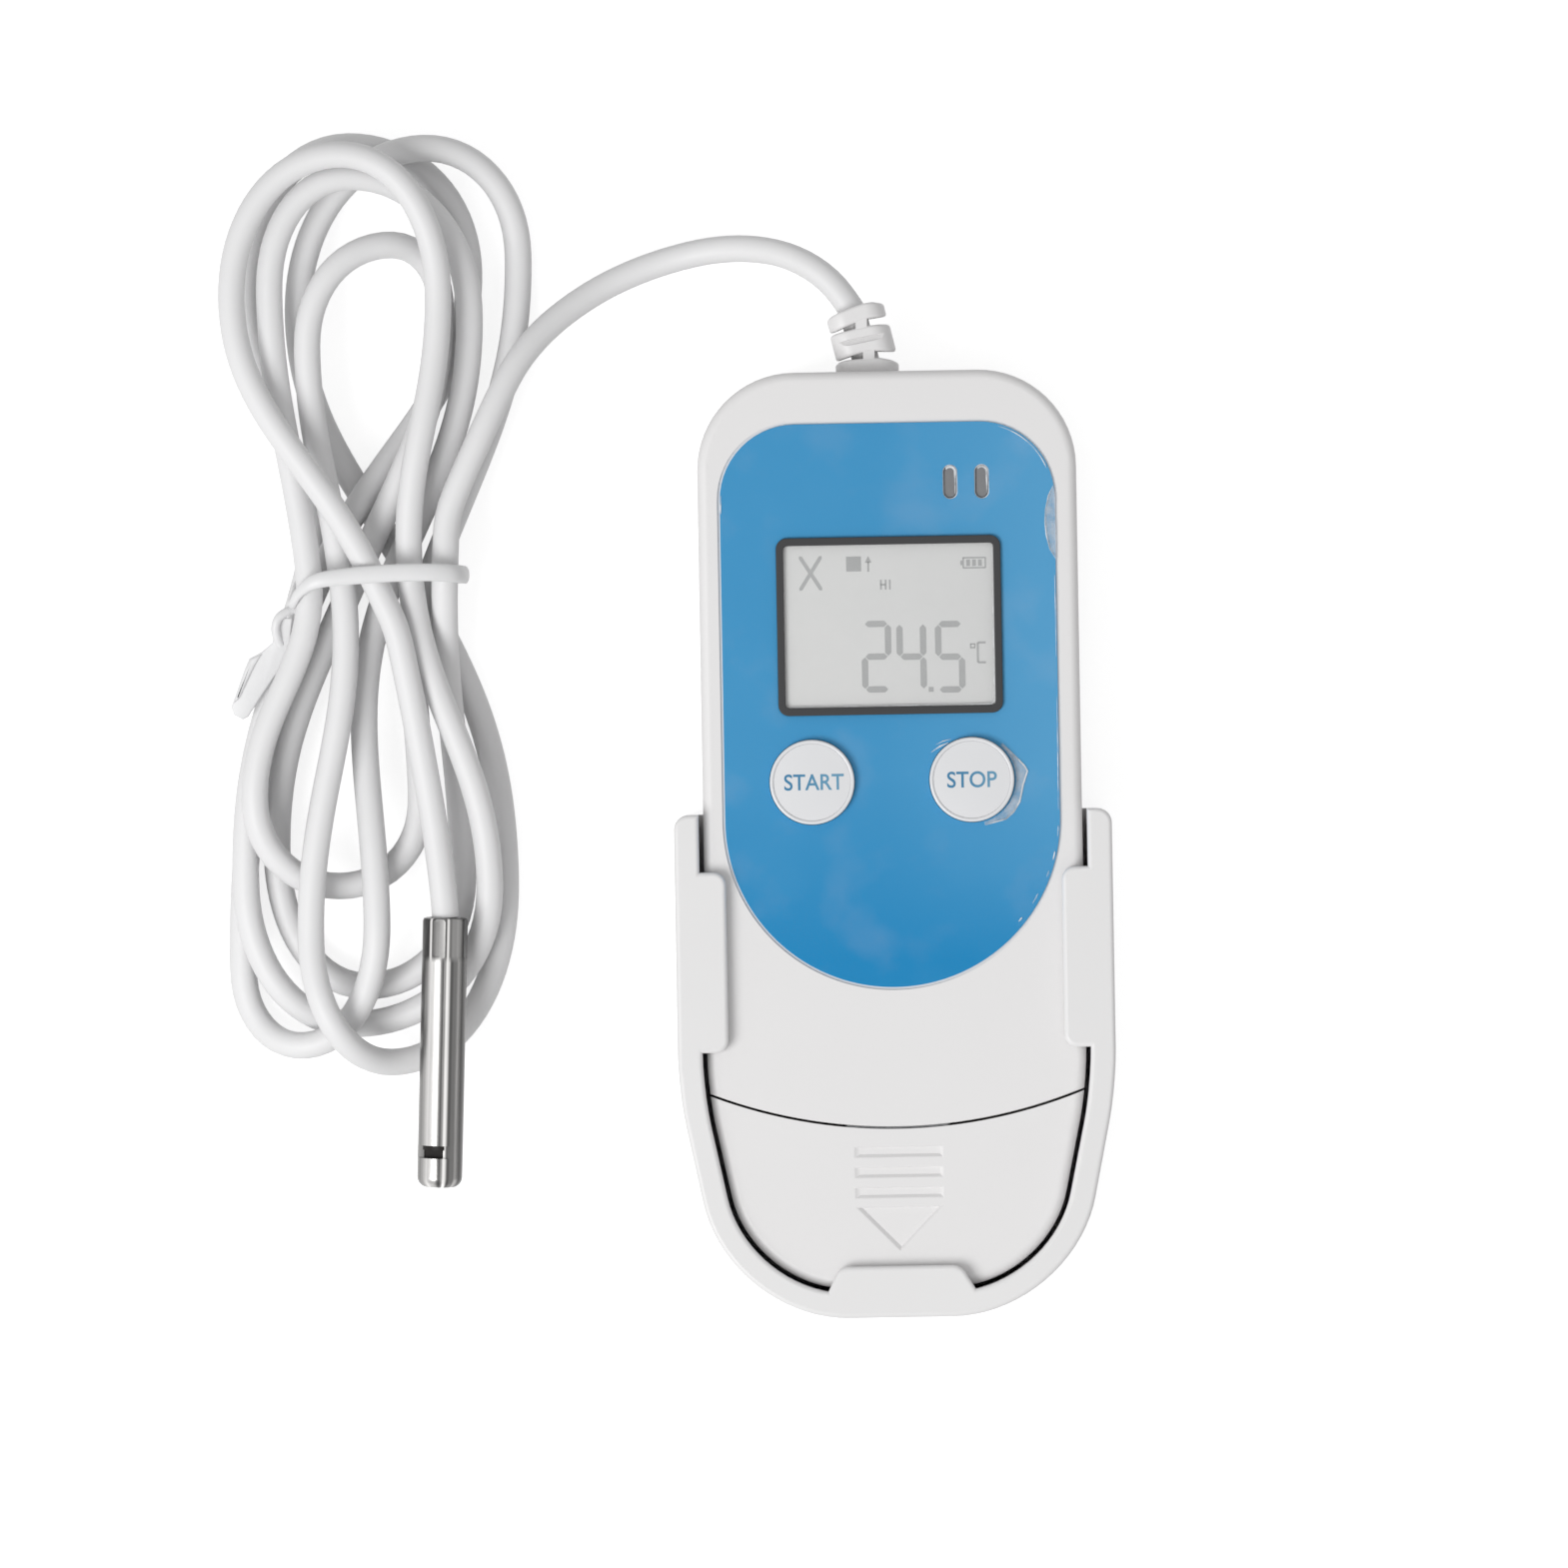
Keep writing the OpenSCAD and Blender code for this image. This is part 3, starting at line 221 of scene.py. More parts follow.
label = {
    "half": 18.8, "top": 46.9, "bottom": -16.1, "corner": 8.6,
    "sheet": (-0.26, 16.06, 16.3),  # how much wider than these measures, and its two faces
    "seat": (0.06, 16.05),  # how much wider the recess is, and where its floor lies
    "holes": (0.12, 4.76),  # how much wider than the housing's holes, and the radius round a button
    "upperBlue": (0.046, 0.286, 0.548), "lowerBlue": (0.005, 0.226, 0.495), "hazeBlue": (0.088, 0.342, 0.602),
    "span": (-0.013, 0.008), "hazeAcross": (-0.001, 0.017), "hazeMost": 0.85,
    "cloudScale": 70, "clouds": (0.5, 0.8, 0, 0.2),
}


# Deeper blue at the foot, paler under a haze to the right.
def makeLabelFinish():
    tree, shader = newMaterial("labelBlue", {"Specular IOR Level": 0.16})
    place = objectPlace(tree)
    rise = mapped(tree, axis(tree, place, "Y"), *label["span"])
    blue = ramp(tree, rise, [(0, label["lowerBlue"]), (1, label["upperBlue"])])
    across = mapped(tree, axis(tree, place, "X"), *label["hazeAcross"], 0, label["hazeMost"])
    haze = calculated(tree, "MULTIPLY", across, rise)
    cloudy = mapped(tree, noise(tree, place, label["cloudScale"], 2), *label["clouds"])
    haze = calculated(tree, "ADD", haze, cloudy, use_clamp=True)
    hazed = mixed(tree, haze, blue, (*label["hazeBlue"], 1))
    addGrain(tree, shader, hazed, 0.45, tone=0.03, patch=120, grain=2800, depth=0.05)


makeLabelFinish()

# Colour, least and most of the haze, scale of its clouds, where they start, roughness.
clearFinishes = {
    "clearFilm": ((0.9, 0.93, 0.96), 0.005, 0.03, 120, 0.52, 0.15),
    "hazyFilm": ((0.88, 0.91, 0.95), 0.1, 0.26, 500, 0.4, 0.3),
    "raisedFilmAndHighlights": ((0.93, 0.95, 0.97), 0.15, 0.7, 420, 0.42, 0.25),
    "clearPane": ((0.9, 0.91, 0.91), 0.05, 0.1, 60, 0.5, 0.08),
}


def makeClearFinishes():
    for name, (colour, clear, hazy, scale, start, roughness) in clearFinishes.items():
        tree, shader = newMaterial(name)
        alpha = mapped(tree, noise(tree, objectPlace(tree), scale, 4), start, start + 0.2, clear, hazy)
        addGrain(tree, shader, colour, roughness, tone=0.03, patch=100, grain=900, depth=0.06)
        tree.links.new(alpha, shader.inputs["Alpha"])


makeClearFinishes()

displayGreys = {"span": (-0.0125, 0.0125), "left": (0.665, 0.667, 0.66), "right": (0.62, 0.622, 0.618)}


def makeDisplayFinish():
    tree, shader = newMaterial("displayGrey", {"Coat Weight": 0.3, "Coat Roughness": 0.15})
    across = mapped(tree, axis(tree, objectPlace(tree), "X"), *displayGreys["span"])
    grey = ramp(tree, across, [(0, displayGreys["left"]), (1, displayGreys["right"])])
    addGrain(tree, shader, grey, 0.4, tone=0.05, patch=220, grain=4200, depth=0.04)


makeDisplayFinish()

probe = {
    "at": (-49.8, -7.3, 9.7), "turn": 2.3, "dip": 3,
    "radius": 2.5, "length": 30, "tipRadius": 1.2,
    "hole": 1.58, "holeEnd": 5.6, "bore": 1.95, "boreStart": 6.2, "boreCorner": 0.8, "endWall": 0.5,
    # The rolled end: how far out from the hole, and how far in from the tube's side, each with its height.
    "lipInner": [(0, 0.4), (0.04, 0.12), (0.15, 0)],
    "lipOuter": [(0.35, 0), (0.08, 0.1), (0, 0.4)],
    "rings": (4, 7, 12, 16, 20, 24.3, 26.3),
    "flats": [(-1, 2.4), (4.2, 2.4), (4.6, 2.45), (5.2, 2.64), (31, 2.64)],
    "flatTurn": -7.8,
    "vent": (25.3, 26.7), "ventDepth": 0.96, "ventTurn": 28, "resin": (24.5, 27.9), "resinGap": 0.05,
    # Painted reflections: greys round the tube and round its flats, by shares of a turn, stand in for the
    # light and dark bands the steel reflects.
    "reflectionBands": [
        (0, 0.3), (0.1, 0.5), (0.3, 0.7), (0.45, 0.35), (0.53, 0.12), (0.575, 0.09), (0.595, 0.09),
        (0.615, 0.3), (0.635, 0.45), (0.652, 0.2), (0.675, 0.18), (0.69, 0.09), (0.7, 0.13), (0.713, 0.8),
        (0.727, 1), (0.738, 0.3), (0.754, 0.07), (0.768, 0.12), (0.785, 0.36), (0.803, 0.43), (0.83, 0.56),
        (0.85, 0.7), (0.865, 0.6), (0.886, 0.34), (0.916, 0.21), (0.94, 0.18), (0.97, 0.28),
    ],
    "flatReflectionBands": [
        (0, 0.3), (0.45, 0.2), (0.55, 0.05), (0.595, 0.04), (0.62, 0.28), (0.65, 0.32), (0.69, 0.28),
        (0.705, 0.16), (0.714, 0.3), (0.722, 1), (0.73, 0.6), (0.738, 0.06), (0.75, 0.18), (0.77, 0.12),
        (0.8, 0.09), (0.825, 0.075), (0.84, 0.06), (0.845, 0.3), (0.85, 1), (0.862, 0.6), (0.87, 0.08),
        (0.93, 0.16), (0.97, 0.3),
    ],
    "flatEnd": (0.0042, 0.0049),
    "warmth": (1, 0.985, 0.97),
    "streaks": (2600, 2600, 40), "streakTones": (0.25, 0.75, 0.8, 1.12),
}
probePlace = (
    Matrix.Translation(probe["at"])
    @ Matrix.Rotation(radians(-probe["turn"]), 4, "Z")
    @ Matrix.Rotation(radians(90 + probe["dip"]), 4, "X")
)


# Drawn steel: streaks run along the tube, and painted reflections make it light and dark by turns round it.
def makeSteelFinish():
    tree, shader = newMaterial("steelPaintedReflections", {"Metallic": 1})
    along = addNode(tree, "ShaderNodeMapping", {
        "Vector": objectPlace(tree), "Location": Vector(probe["at"]) * mm, "Rotation": probePlace.to_euler(),
    }, vector_type="TEXTURE").outputs[0]
    turn = addNode(tree, "ShaderNodeTexGradient", {"Vector": along}, gradient_type="RADIAL").outputs["Fac"]

    def greys(stops):
        return ramp(tree, turn, [(at, [tone * share for share in probe["warmth"]]) for at, tone in stops])

    pastFlats = mapped(tree, axis(tree, along, "Z"), *probe["flatEnd"])
    # The painted reflections, round the flats and then round the tube.
    reflectionBands = mixed(tree, pastFlats, greys(probe["flatReflectionBands"]), greys(probe["reflectionBands"]))
    stretched = addNode(tree, "ShaderNodeMapping", {"Vector": along, "Scale": probe["streaks"]}).outputs[0]
    streaky = mapped(tree, noise(tree, stretched, 1, 3), *probe["streakTones"])
    addGrain(tree, shader, scaled(tree, reflectionBands, streaky), 0.3, tone=0.06, patch=250, grain=3000, depth=0.06)


makeSteelFinish()

printBlue = {
    "first": (0.03, 0.18, 0.34), "last": (0.11, 0.29, 0.44), "hold": 0.3,
    "from": -12.2, "repeat": 18.2, "reach": 5,
}


# The buttons' print, which fades to the right of each first letter.
def makePrintFinish():
    tree, shader = newMaterial("printBlue")
    start, repeat = printBlue["from"] * mm, printBlue["repeat"] * mm
    run = calculated(tree, "WRAP", axis(tree, objectPlace(tree), "X"), start + repeat, start)
    run = mapped(tree, run, start, start + printBlue["reach"] * mm)
    first, last = printBlue["first"], printBlue["last"]
    blue = ramp(tree, run, [(0, first), (printBlue["hold"], first), (1, last)])
    addGrain(tree, shader, blue, 0.45, tone=0.12, patch=900, grain=5000, depth=0.06)


makePrintFinish()


# Green board with lighter tracks that run square to each other.
def makeBoardFinish():
    tree, shader = newMaterial("boardGreen", {"Coat Weight": 0.4, "Coat Roughness": 0.2})
    tracks = addNode(tree, "ShaderNodeTexBrick", {
        "Vector": objectPlace(tree), "Scale": 110, "Mortar Size": 0.03,
        "Color1": (0.012, 0.11, 0.04, 1), "Color2": (0.014, 0.13, 0.045, 1), "Mortar": (0.03, 0.22, 0.08, 1),
    }).outputs["Color"]
    addGrain(tree, shader, tracks, 0.4, tone=0.08, patch=150, grain=4000, depth=0.1)


makeBoardFinish()
print("materials made:", len(materials))


# Small modelling tools, and what they take as the same point, place, height and (in degrees) face.
same = {"point": 0.0005, "place": 0.01, "height": 0.003, "face": 0.3}


def verticesOf(geom):
    return [v for v in geom if isinstance(v, bmesh.types.BMVert)]


def moved(bm, matrix):
    bmesh.ops.transform(bm, matrix=matrix, verts=bm.verts)
    return bm


def turnAbout(axisName, degrees):
    return Matrix.Rotation(radians(degrees), 4, axisName)


def prism(points, low, high):
    bm = bmesh.new()
    face = bm.faces.new([bm.verts.new((x, y, low)) for x, y in points])
    raised = bmesh.ops.extrude_face_region(bm, geom=[face])["geom"]
    bmesh.ops.translate(bm, vec=(0, 0, high - low), verts=verticesOf(raised))
    bmesh.ops.recalc_face_normals(bm, faces=bm.faces)
    return bm


# A solid through outlines of as many points each, from the lowest to the highest.
def loft(rings):
    bm = bmesh.new()
    points, z = rings[0]
    end = bm.faces.new([bm.verts.new((x, y, z)) for x, y in points])
    for i, ((before, _), (after, z)) in enumerate(zip(rings, rings[1:])):
        raised = bmesh.ops.extrude_face_region(bm, geom=[end])["geom"]
        if i:
            bmesh.ops.delete(bm, geom=[end], context="FACES_ONLY")
        end = next(f for f in raised if isinstance(f, bmesh.types.BMFace))
        for v in end.verts:
            gaps = [hypot(v.co.x - x, v.co.y - y) for x, y in before]
            v.co = (*after[gaps.index(min(gaps))], z)
    bmesh.ops.recalc_face_normals(bm, faces=bm.faces)
    return bm


# The outline (turning left) with each side moved in by its own reach.
def inset(points, reaches):
    points = [Vector(p) for p in points]
    lines = []
    for a, b, reach in zip(points, points[1:] + points[:1], reaches):
        along = (b - a).normalized()
        lines.append((a + Vector((-along.y, along.x)) * reach, along))
    corners = []
    for (p, d), (q, e) in zip(lines[-1:] + lines[:-1], lines):
        gap = q - p
        corners.append(tuple(p + d * ((gap.x * e.y - gap.y * e.x) / (d.x * e.y - d.y * e.x))))
    return corners


def rectangle(x, y, w, h):
    return [(x + i * w / 2, y + j * h / 2) for i, j in ((-1, -1), (1, -1), (1, 1), (-1, 1))]


def bevelEdges(bm, edges, reach, segments):
    bmesh.ops.bevel(
        bm, geom=edges, offset=reach, offset_type="OFFSET", affect="EDGES",
        segments=segments, profile=0.5, material=-1,
    )
    bmesh.ops.remove_doubles(bm, verts=bm.verts, dist=same["point"])
    return bm


def roundUpright(bm, places, reach, segments=6):
    edges = [
        e for e in bm.edges for x, y in places
        if all(hypot(v.co.x - x, v.co.y - y) < same["place"] for v in e.verts)
    ]
    return bevelEdges(bm, edges, reach, segments)


# The edges at one height between an upright and a level face.
def roundRim(bm, height, reach, segments):
    bm.normal_update()
    rim = []
    for e in bm.edges:
        if len(e.link_faces) == 2 and all(abs(v.co.z - height) < same["height"] for v in e.verts):
            slopes = sorted(abs(f.normal.z) for f in e.link_faces)
            if slopes[0] < 0.5 < slopes[1]:
                rim.append(e)
    return bevelEdges(bm, rim, reach, segments)


def block(x, y, w, h, low, high):
    bm = bmesh.new()
    place = Matrix.Translation((x, y, (low + high) / 2)) @ Matrix.Diagonal((w, h, high - low, 1))
    bmesh.ops.create_cube(bm, size=1, matrix=place)
    return bm


def roundBlock(x, y, w, h, low, high, corner, segments=6):
    return roundUpright(block(x, y, w, h, low, high), rectangle(x, y, w, h), corner, segments)


def bar(x, y, radius, low, high, sides, topRadius=None):
    bm = bmesh.new()
    bmesh.ops.create_cone(
        bm, cap_ends=True, segments=sides, radius1=radius, radius2=topRadius or radius,
        depth=high - low, matrix=Matrix.Translation((x, y, (low + high) / 2)),
    )
    return bm


def turned(profile, steps):
    bm = bmesh.new()
    verts = [bm.verts.new((r, 0, z)) for r, z in profile]
    edges = [bm.edges.new(pair) for pair in zip(verts, verts[1:])]
    bmesh.ops.spin(
        bm, geom=verts + edges, cent=(0, 0, 0), axis=(0, 0, 1), angle=2 * pi, steps=steps, use_merge=True,
    )
    bmesh.ops.remove_doubles(bm, verts=bm.verts, dist=same["point"])
    bmesh.ops.recalc_face_normals(bm, faces=bm.faces)
    return bm


def asMesh(bm, name):
    mesh = bpy.data.meshes.new(name)
    bm.to_mesh(mesh)
    bm.free()
    return mesh


def joined(parts):
    whole = bmesh.new()
    for part in parts:
        mesh = asMesh(part, "part")
        whole.from_mesh(mesh)
        bpy.data.meshes.remove(mesh)
    return whole


def bars(places, radius, low, high, sides, topRadius=None):
    return joined([bar(x, y, radius, low, high, sides, topRadius) for x, y in places])


# Exact booleans, one after another. The shapes are used up, and the result is a new one.
def combined(bm, tools, operation):
    for tool in tools:
        pair = [addObject("cutting", asMesh(part, "cutting")) for part in (bm, tool)]
        step = pair[0].modifiers.new("cut", "BOOLEAN")
        step.operation = operation
        step.object = pair[1]
        step.solver = "EXACT"
        seen = pair[0].evaluated_get(bpy.context.evaluated_depsgraph_get())
        bm = bmesh.new()
        bm.from_mesh(seen.to_mesh())
        seen.to_mesh_clear()
        for part in pair:
            mesh = part.data
            bpy.data.objects.remove(part)
            bpy.data.meshes.remove(mesh)
        bmesh.ops.remove_doubles(bm, verts=bm.verts, dist=same["point"])
        bmesh.ops.dissolve_limit(bm, angle_limit=radians(same["face"]), verts=bm.verts, edges=bm.edges)
    return bm


def cut(bm, *tools):
    return combined(bm, tools, "DIFFERENCE")


def fused(bm, *tools):
    return combined(bm, tools, "UNION")


def common(bm, *tools):
    return combined(bm, tools, "INTERSECT")


def finishPiece(bm, name, body, finish, replaced=(), smoothAngle=32, weighted=True):
    bmesh.ops.scale(bm, vec=(mm, mm, mm), verts=bm.verts)
    bm.normal_update()
    for face in bm.faces:
        face.smooth = True
    for edge in bm.edges:
        edge.smooth = len(edge.link_faces) == 2 and edge.calc_face_angle(0) < radians(smoothAngle)
    loose = sum(len(e.link_faces) != 2 for e in bm.edges)
    mesh = asMesh(bm, name)
    mesh.materials.append(materials[finish])
    piece = addObject(name, mesh)
    if weighted:
        piece.modifiers.new("evenNormals", "WEIGHTED_NORMAL").keep_sharp = True
    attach(piece, body)
    if replaced:
        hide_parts(*replaced)
    print("piece", name, len(mesh.polygons), "faces", loose, "open edges")
    return piece


# The cable: free lead, hank and free tail in one piece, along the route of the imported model.
cable = {
    "diameter": 3, "exit": (-3.25, 59.7, 9.3), "hankAt": (-56.8, 31, 0),
    "runEnd": 4, "legPull": 0.42, "arcPull": 0.57, "stepsPerLeg": 16, "stepsPerSpan": 8,
    "step": 1.2, "passes": 2, "roundness": 6,
    "lead": [
        (-3.2, 58.8, 9.3), (-4.2, 60.4, 9.3), (-5.6, 62.3, 9.2), (-7.9, 64.2, 8.6), (-11, 65.7, 7.2),
        (-14.6, 66.4, 5.2), (-18.4, 66.4, 3.2), (-22.4, 65.7, 2), (-27, 64.3, 1.7), (-31.8, 62.1, 2.4),
        (-36.6, 58.8, 4.4), (-40.4, 54.8, 6.8), (-43, 50.2, 8.4), (-45.2, 45.6, 9.2), (-47, 41.8, 9.4),
        (-48.3, 38.8, 9.4), (-48.9, 36.9, 9.4), (-49, 35.05, 9.4),
    ],
    "tail": [
        (-55.6, 26.95, 11.3), (-54.7, 24.95, 11.3), (-53.8, 20.6, 11.1), (-52.7, 14.6, 10.7),
        (-51.7, 8.6, 10.2), (-50.7, 2, 9.9), (-50, -4.4, 9.8), (-49.8, -7.3, 9.7),
    ],
    # A run is one crossing of the tie: its place, its lean and its heights round the tie.
    "runs": [
        (7.6, 0.05, 9.4, 9.4, 9.4, 5.3, 4.4), (-2.2, 0.45, 4.9, 5.6, 6, 7, 7.1),
        (-3.9, -0.12, 7.8, 8.6, 9.2, 9.7, 9.8), (3.6, -0.55, 1.7, 1.8, 2.5, 1.7, 1.7),
        (6.1, 0.4, 4.4, 5.6, 5.9, 5.4, 5.3), (-7.5, -0.1, 9.8, 9.8, 9.5, 9.1, 8.8),
        (1.9, 0.45, 6, 5.9, 5.9, 5.8, 6), (-7.8, 0.3, 1.7, 1.9, 2.5, 2.3, 1.8),
        (-6.2, 0.45, 2, 5, 5.6, 6.1, 5.8), (3.7, -0.06, 9.2, 9.1, 9.2, 10.3, 10.7),
        (-0.6, -0.45, 12.6, 12.8, 11.3, 11.3, 10.6),
    ],
    # A loop joins two runs: arriving side, far tip, leaving side, and the heights along it.
    "loops": [
        ((9, -34), (-2, -45.9), (-11.7, -31), (4.8, 3.4, 1.7, 1.9, 3)),
        ((7.6, 30.2), (2.2, 36.6), (-7.3, 25.5), (3.7, 4.4, 7, 8.7, 8.6)),
        ((-8, -40.5), (0.8, -54.4), (13.7, -34.5), (9.5, 9.8, 4.6, 1.8, 1.7)),
        ((-8.3, 29), (6.2, 47.3), (16.3, 35.3), (5, 4.5, 5.2, 3.5, 1.7)),
        ((4.5, -25.4), (-4.6, -34.7), (-14, -25), (5.2, 4.9, 5.1, 7.4, 9.3)),
        ((-11.4, 31.8), (-2.4, 44.2), (10.8, 29), (8.8, 8.6, 8.4, 5.8, 5.5)),
        ((-0.6, -39), (-9.2, -52.4), (-15.7, -44.2), (8.8, 6.1, 4.6, 1.8, 1.7)),
        ((-14.3, 30.6), (-2.6, 47.7), (10.8, 33.5), (1.8, 2, 1.6, 1.6, 1.6)),
        ((-15.2, -34.2), (-3.4, -50.1), (12, -34.9), (5.3, 4.2, 1.7, 3.9, 7.5)),
        ((7.4, 31.2), (-3.2, 46.65), (-15.6, 30.8), (9.6, 10.6, 11, 10.2, 10.4)),
    ],
}


# A curve from a to b, with its speeds at both ends.
def cubic(a, b, leaving, arriving, t):
    return (
        (2 * t**3 - 3 * t**2 + 1) * a + (t**3 - 2 * t**2 + t) * leaving
        + (3 * t**2 - 2 * t**3) * b + (t**3 - t**2) * arriving
    )


# Places with their directions, and whether an arc follows.
def hankKnots():
    runs, loops, end = cable["runs"], cable["loops"], cable["runEnd"]
    x, slant = runs[0][:2]
    knots = [((x + slant * end, end), (-slant, -1), False)]
    for i, (x, slant, *_) in enumerate(runs):
        s = 1 if i % 2 else -1
        knots.append(((x, 0), (s * slant, s), False))
        if i < len(loops):
            arriving, tip, leaving, _ = loops[i]
            side = 1 if leaving[0] > arriving[0] else -1
            knots += [(arriving, (0, s), True), (tip, (side, 0), True), (leaving, (0, -s), False)]
    knots.append(((x - slant * end, -end), (-slant, -1), False))
    return [(Vector(p), Vector(d).normalized(), turns) for p, d, turns in knots]


# Heights against the number of the knot.
def hankHeights():
    runs, loops = cable["runs"], cable["loops"]
    heights = [(0, runs[0][3])]
    for i, run in enumerate(runs):
        k = 1 + 4 * i
        heights.append((k, run[4]))
        if i < len(loops):
            z, after = loops[i][3], runs[i + 1]
            heights += [(k + 0.25, run[5]), (k + 0.5, run[6])]
            heights += [(k + 1 + j / 2, z[j]) for j in range(5)]
            heights += [(k + 3.5, after[2]), (k + 3.75, after[3])]
    heights.append((4 * len(runs) - 2, runs[-1][5]))
    return heights


def heightAt(heights, u):
    last = len(heights) - 1

    def slope(m):
        a, b = heights[max(0, m - 1)], heights[min(last, m + 1)]
        return (b[1] - a[1]) / (b[0] - a[0])

    j = min(last - 1, max(i for i, h in enumerate(heights) if h[0] <= u))
    (u0, z0), (u1, z1) = heights[j], heights[j + 1]
    h = u1 - u0
    return cubic(z0, z1, h * slope(j), h * slope(j + 1), (u - u0) / h)


def hankRoute(steps):
    knots, heights = hankKnots(), hankHeights()
    at = Vector(cable["hankAt"])
    route = []
    for i, ((p0, d0, turns), (p1, d1, _)) in enumerate(zip(knots, knots[1:])):
        pull = 3 * (cable["arcPull"] if turns else cable["legPull"])
        leaving, arriving = (d * abs((p1 - p0).dot(d)) * pull for d in (d0, d1))
        for m in range(steps + (i == len(knots) - 2)):
            q = cubic(p0, p1, leaving, arriving, m / steps)
            route.append(at + Vector((q.x, q.y, heightAt(heights, i + m / steps))))
    return route


def smoothRoute(points, steps, closed=False):
    points = [Vector(p) for p in points]
    if closed:
        ends = points[-1:] + points + points[:2]
    else:
        ends = [2 * points[0] - points[1]] + points + [2 * points[-1] - points[-2]]
    route = []
    for before, a, b, after in zip(ends, ends[1:], ends[2:], ends[3:]):
        route += [cubic(a, b, (b - before) / 2, (after - a) / 2, m / steps) for m in range(steps)]
    return route if closed else route + [points[-1]]


# Even steps, then each point is drawn a little to its neighbours.
def evenRoute(points, step, passes):
    reach = [0]
    for a, b in zip(points, points[1:]):
        reach.append(reach[-1] + (b - a).length)
    count = round(reach[-1] / step)
    route, j = [], 0
    for i in range(count + 1):
        at = reach[-1] * i / count
        while j < len(points) - 2 and reach[j + 1] < at:
            j += 1
        route.append(points[j].lerp(points[j + 1], (at - reach[j]) / (reach[j + 1] - reach[j])))
    for _ in range(passes):
        inner = [(a + 2 * b + c) / 4 for a, b, c in zip(route, route[1:], route[2:])]
        route = [route[0]] + inner + [route[-1]]
    return route


def tightestBend(route):
    bends = []
    for a, b, c in zip(route, route[2:], route[4:]):
        turn = (b - a).angle(c - b)
        if turn > 0.001:
            bends.append(((b - a).length + (c - b).length) / 2 / turn)
    return min(bends)


def makeCable():
    span = cable["stepsPerSpan"]
    lead, tail = (smoothRoute(cable[name], span) for name in ("lead", "tail"))
    route = evenRoute(lead + hankRoute(cable["stepsPerLeg"]) + tail, cable["step"], cable["passes"])
    data = bpy.data.curves.new("probeCable", "CURVE")
    data.dimensions = "3D"
    data.bevel_depth = cable["diameter"] / 2 * mm
    data.bevel_resolution = cable["roundness"]
    data.use_fill_caps = True
    line = data.splines.new("POLY")
    line.points.add(len(route) - 1)
    for point, place in zip(line.points, route):
        point.co = (*(place * mm), 1)
    line.use_smooth = True
    data.materials.append(materials["cableWhite"])
    piece = addObject("probeCable", data)
    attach(piece, "logger")
    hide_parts("cable_lead", "cable_hank", "cable_tail")
    length = sum((b - a).length for a, b in zip(route, route[1:]))
    print("cable length", round(length), "mm, tightest bend", round(tightestBend(route), 1), "mm")
    return piece, length


cablePiece, cableLength = makeCable()

# The housing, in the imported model's own measures.
housing = {
    "halfWidth": 21, "top": 52.4, "cornerRadius": 10.8, "taperY": -27, "taperRadius": 4,
    "lowCentre": (5.8, -36.15), "lowRadius": 13, "lean": 10,
    "backZ": 2.3, "partZ": 8.7, "frontZ": 16.3, "hollow": (4.5, 14.3), "wall": 2,
    "edge": 1.1, "partEdge": 0.14,
    "seamCentre": 24.7, "seamRadius": 56, "seamGap": 0.25, "seamEdge": 0.22, "seamPast": 0.02,
    "capFloor": 10,
    "bosses": [(15.8, 45.8), (-15.8, 45.8), (16.3, -21), (-16.3, -21)],
    "pilot": 1.05, "lap": 0.01,
}


def mirrored(x, y):
    return [(-x, y), (x, y)]


def housingBlock(grow, low, high):
    halfWidth, top = housing["halfWidth"] + grow, housing["top"] + grow
    lowX, lowY = housing["lowCentre"]
    radius = housing["lowRadius"] + grow
    lean = radians(housing["lean"])
    bottom = lowY - radius
    touchX, touchY = lowX + radius * cos(lean), lowY - radius * sin(lean)
    slope = (halfWidth - touchX) / (housing["taperY"] - touchY)
    cornerX = touchX - slope * (touchY - bottom)
    half = [(halfWidth, housing["taperY"]), (halfWidth, top)]
    points = [(cornerX, bottom)] + half + [(-x, y) for x, y in reversed(half)] + [(-cornerX, bottom)]
    turn = pi / 2 - atan(slope)
    bm = prism(points, low, high)
    roundUpright(bm, mirrored(cornerX, bottom), radius * tan(turn / 2), 18)
    roundUpright(bm, mirrored(halfWidth, top), housing["cornerRadius"] + grow, 16)
    return roundUpright(bm, mirrored(halfWidth, housing["taperY"]), housing["taperRadius"], 5)


def seamBar(grow, low, high):
    return bar(0, housing["seamCentre"], housing["seamRadius"] + grow, low, high, 256)


# The housing above the seam, drawn in on all sides.
def hollowBlock(shrink, low, high):
    return common(housingBlock(-shrink, low, high), seamBar(-shrink, low - 1, high + 1))


# The front or the back half above the seam, hollow.
def halfShell(face, hollowEnd):
    part = housing["partZ"]
    out = 1 if face > part else -1
    past, behind = face + out * housing["seamPast"], part - out
    half = housingBlock(0, *sorted((part, face)))
    roundRim(half, face, housing["edge"], 8)
    roundRim(half, part, housing["partEdge"], 1)
    seam = roundRim(seamBar(0, *sorted((past, behind))), past, housing["seamEdge"], 2)
    return cut(common(half, seam), hollowBlock(housing["wall"], *sorted((behind, hollowEnd))))


gland = {"at": (-2.1, 52.4, 9.3), "hole": 2.65, "reach": 4}
plugHole = {"w": 12.4, "t": 4.9, "z": 9.3, "from": -49.9, "to": -12.7}


# The way in for the plug at the bottom, and for the strain relief at the top.
def mouths():
    low, high, z, t = plugHole["from"], plugHole["to"], plugHole["z"], plugHole["t"] / 2
    plug = block(0, (low + high) / 2, plugHole["w"], high - low, z - t, z + t)
    hole = bar(0, 0, gland["hole"], -gland["reach"], gland["reach"], 48)
    return joined([plug, moved(hole, Matrix.Translation(gland["at"]) @ turnAbout("X", 90))])


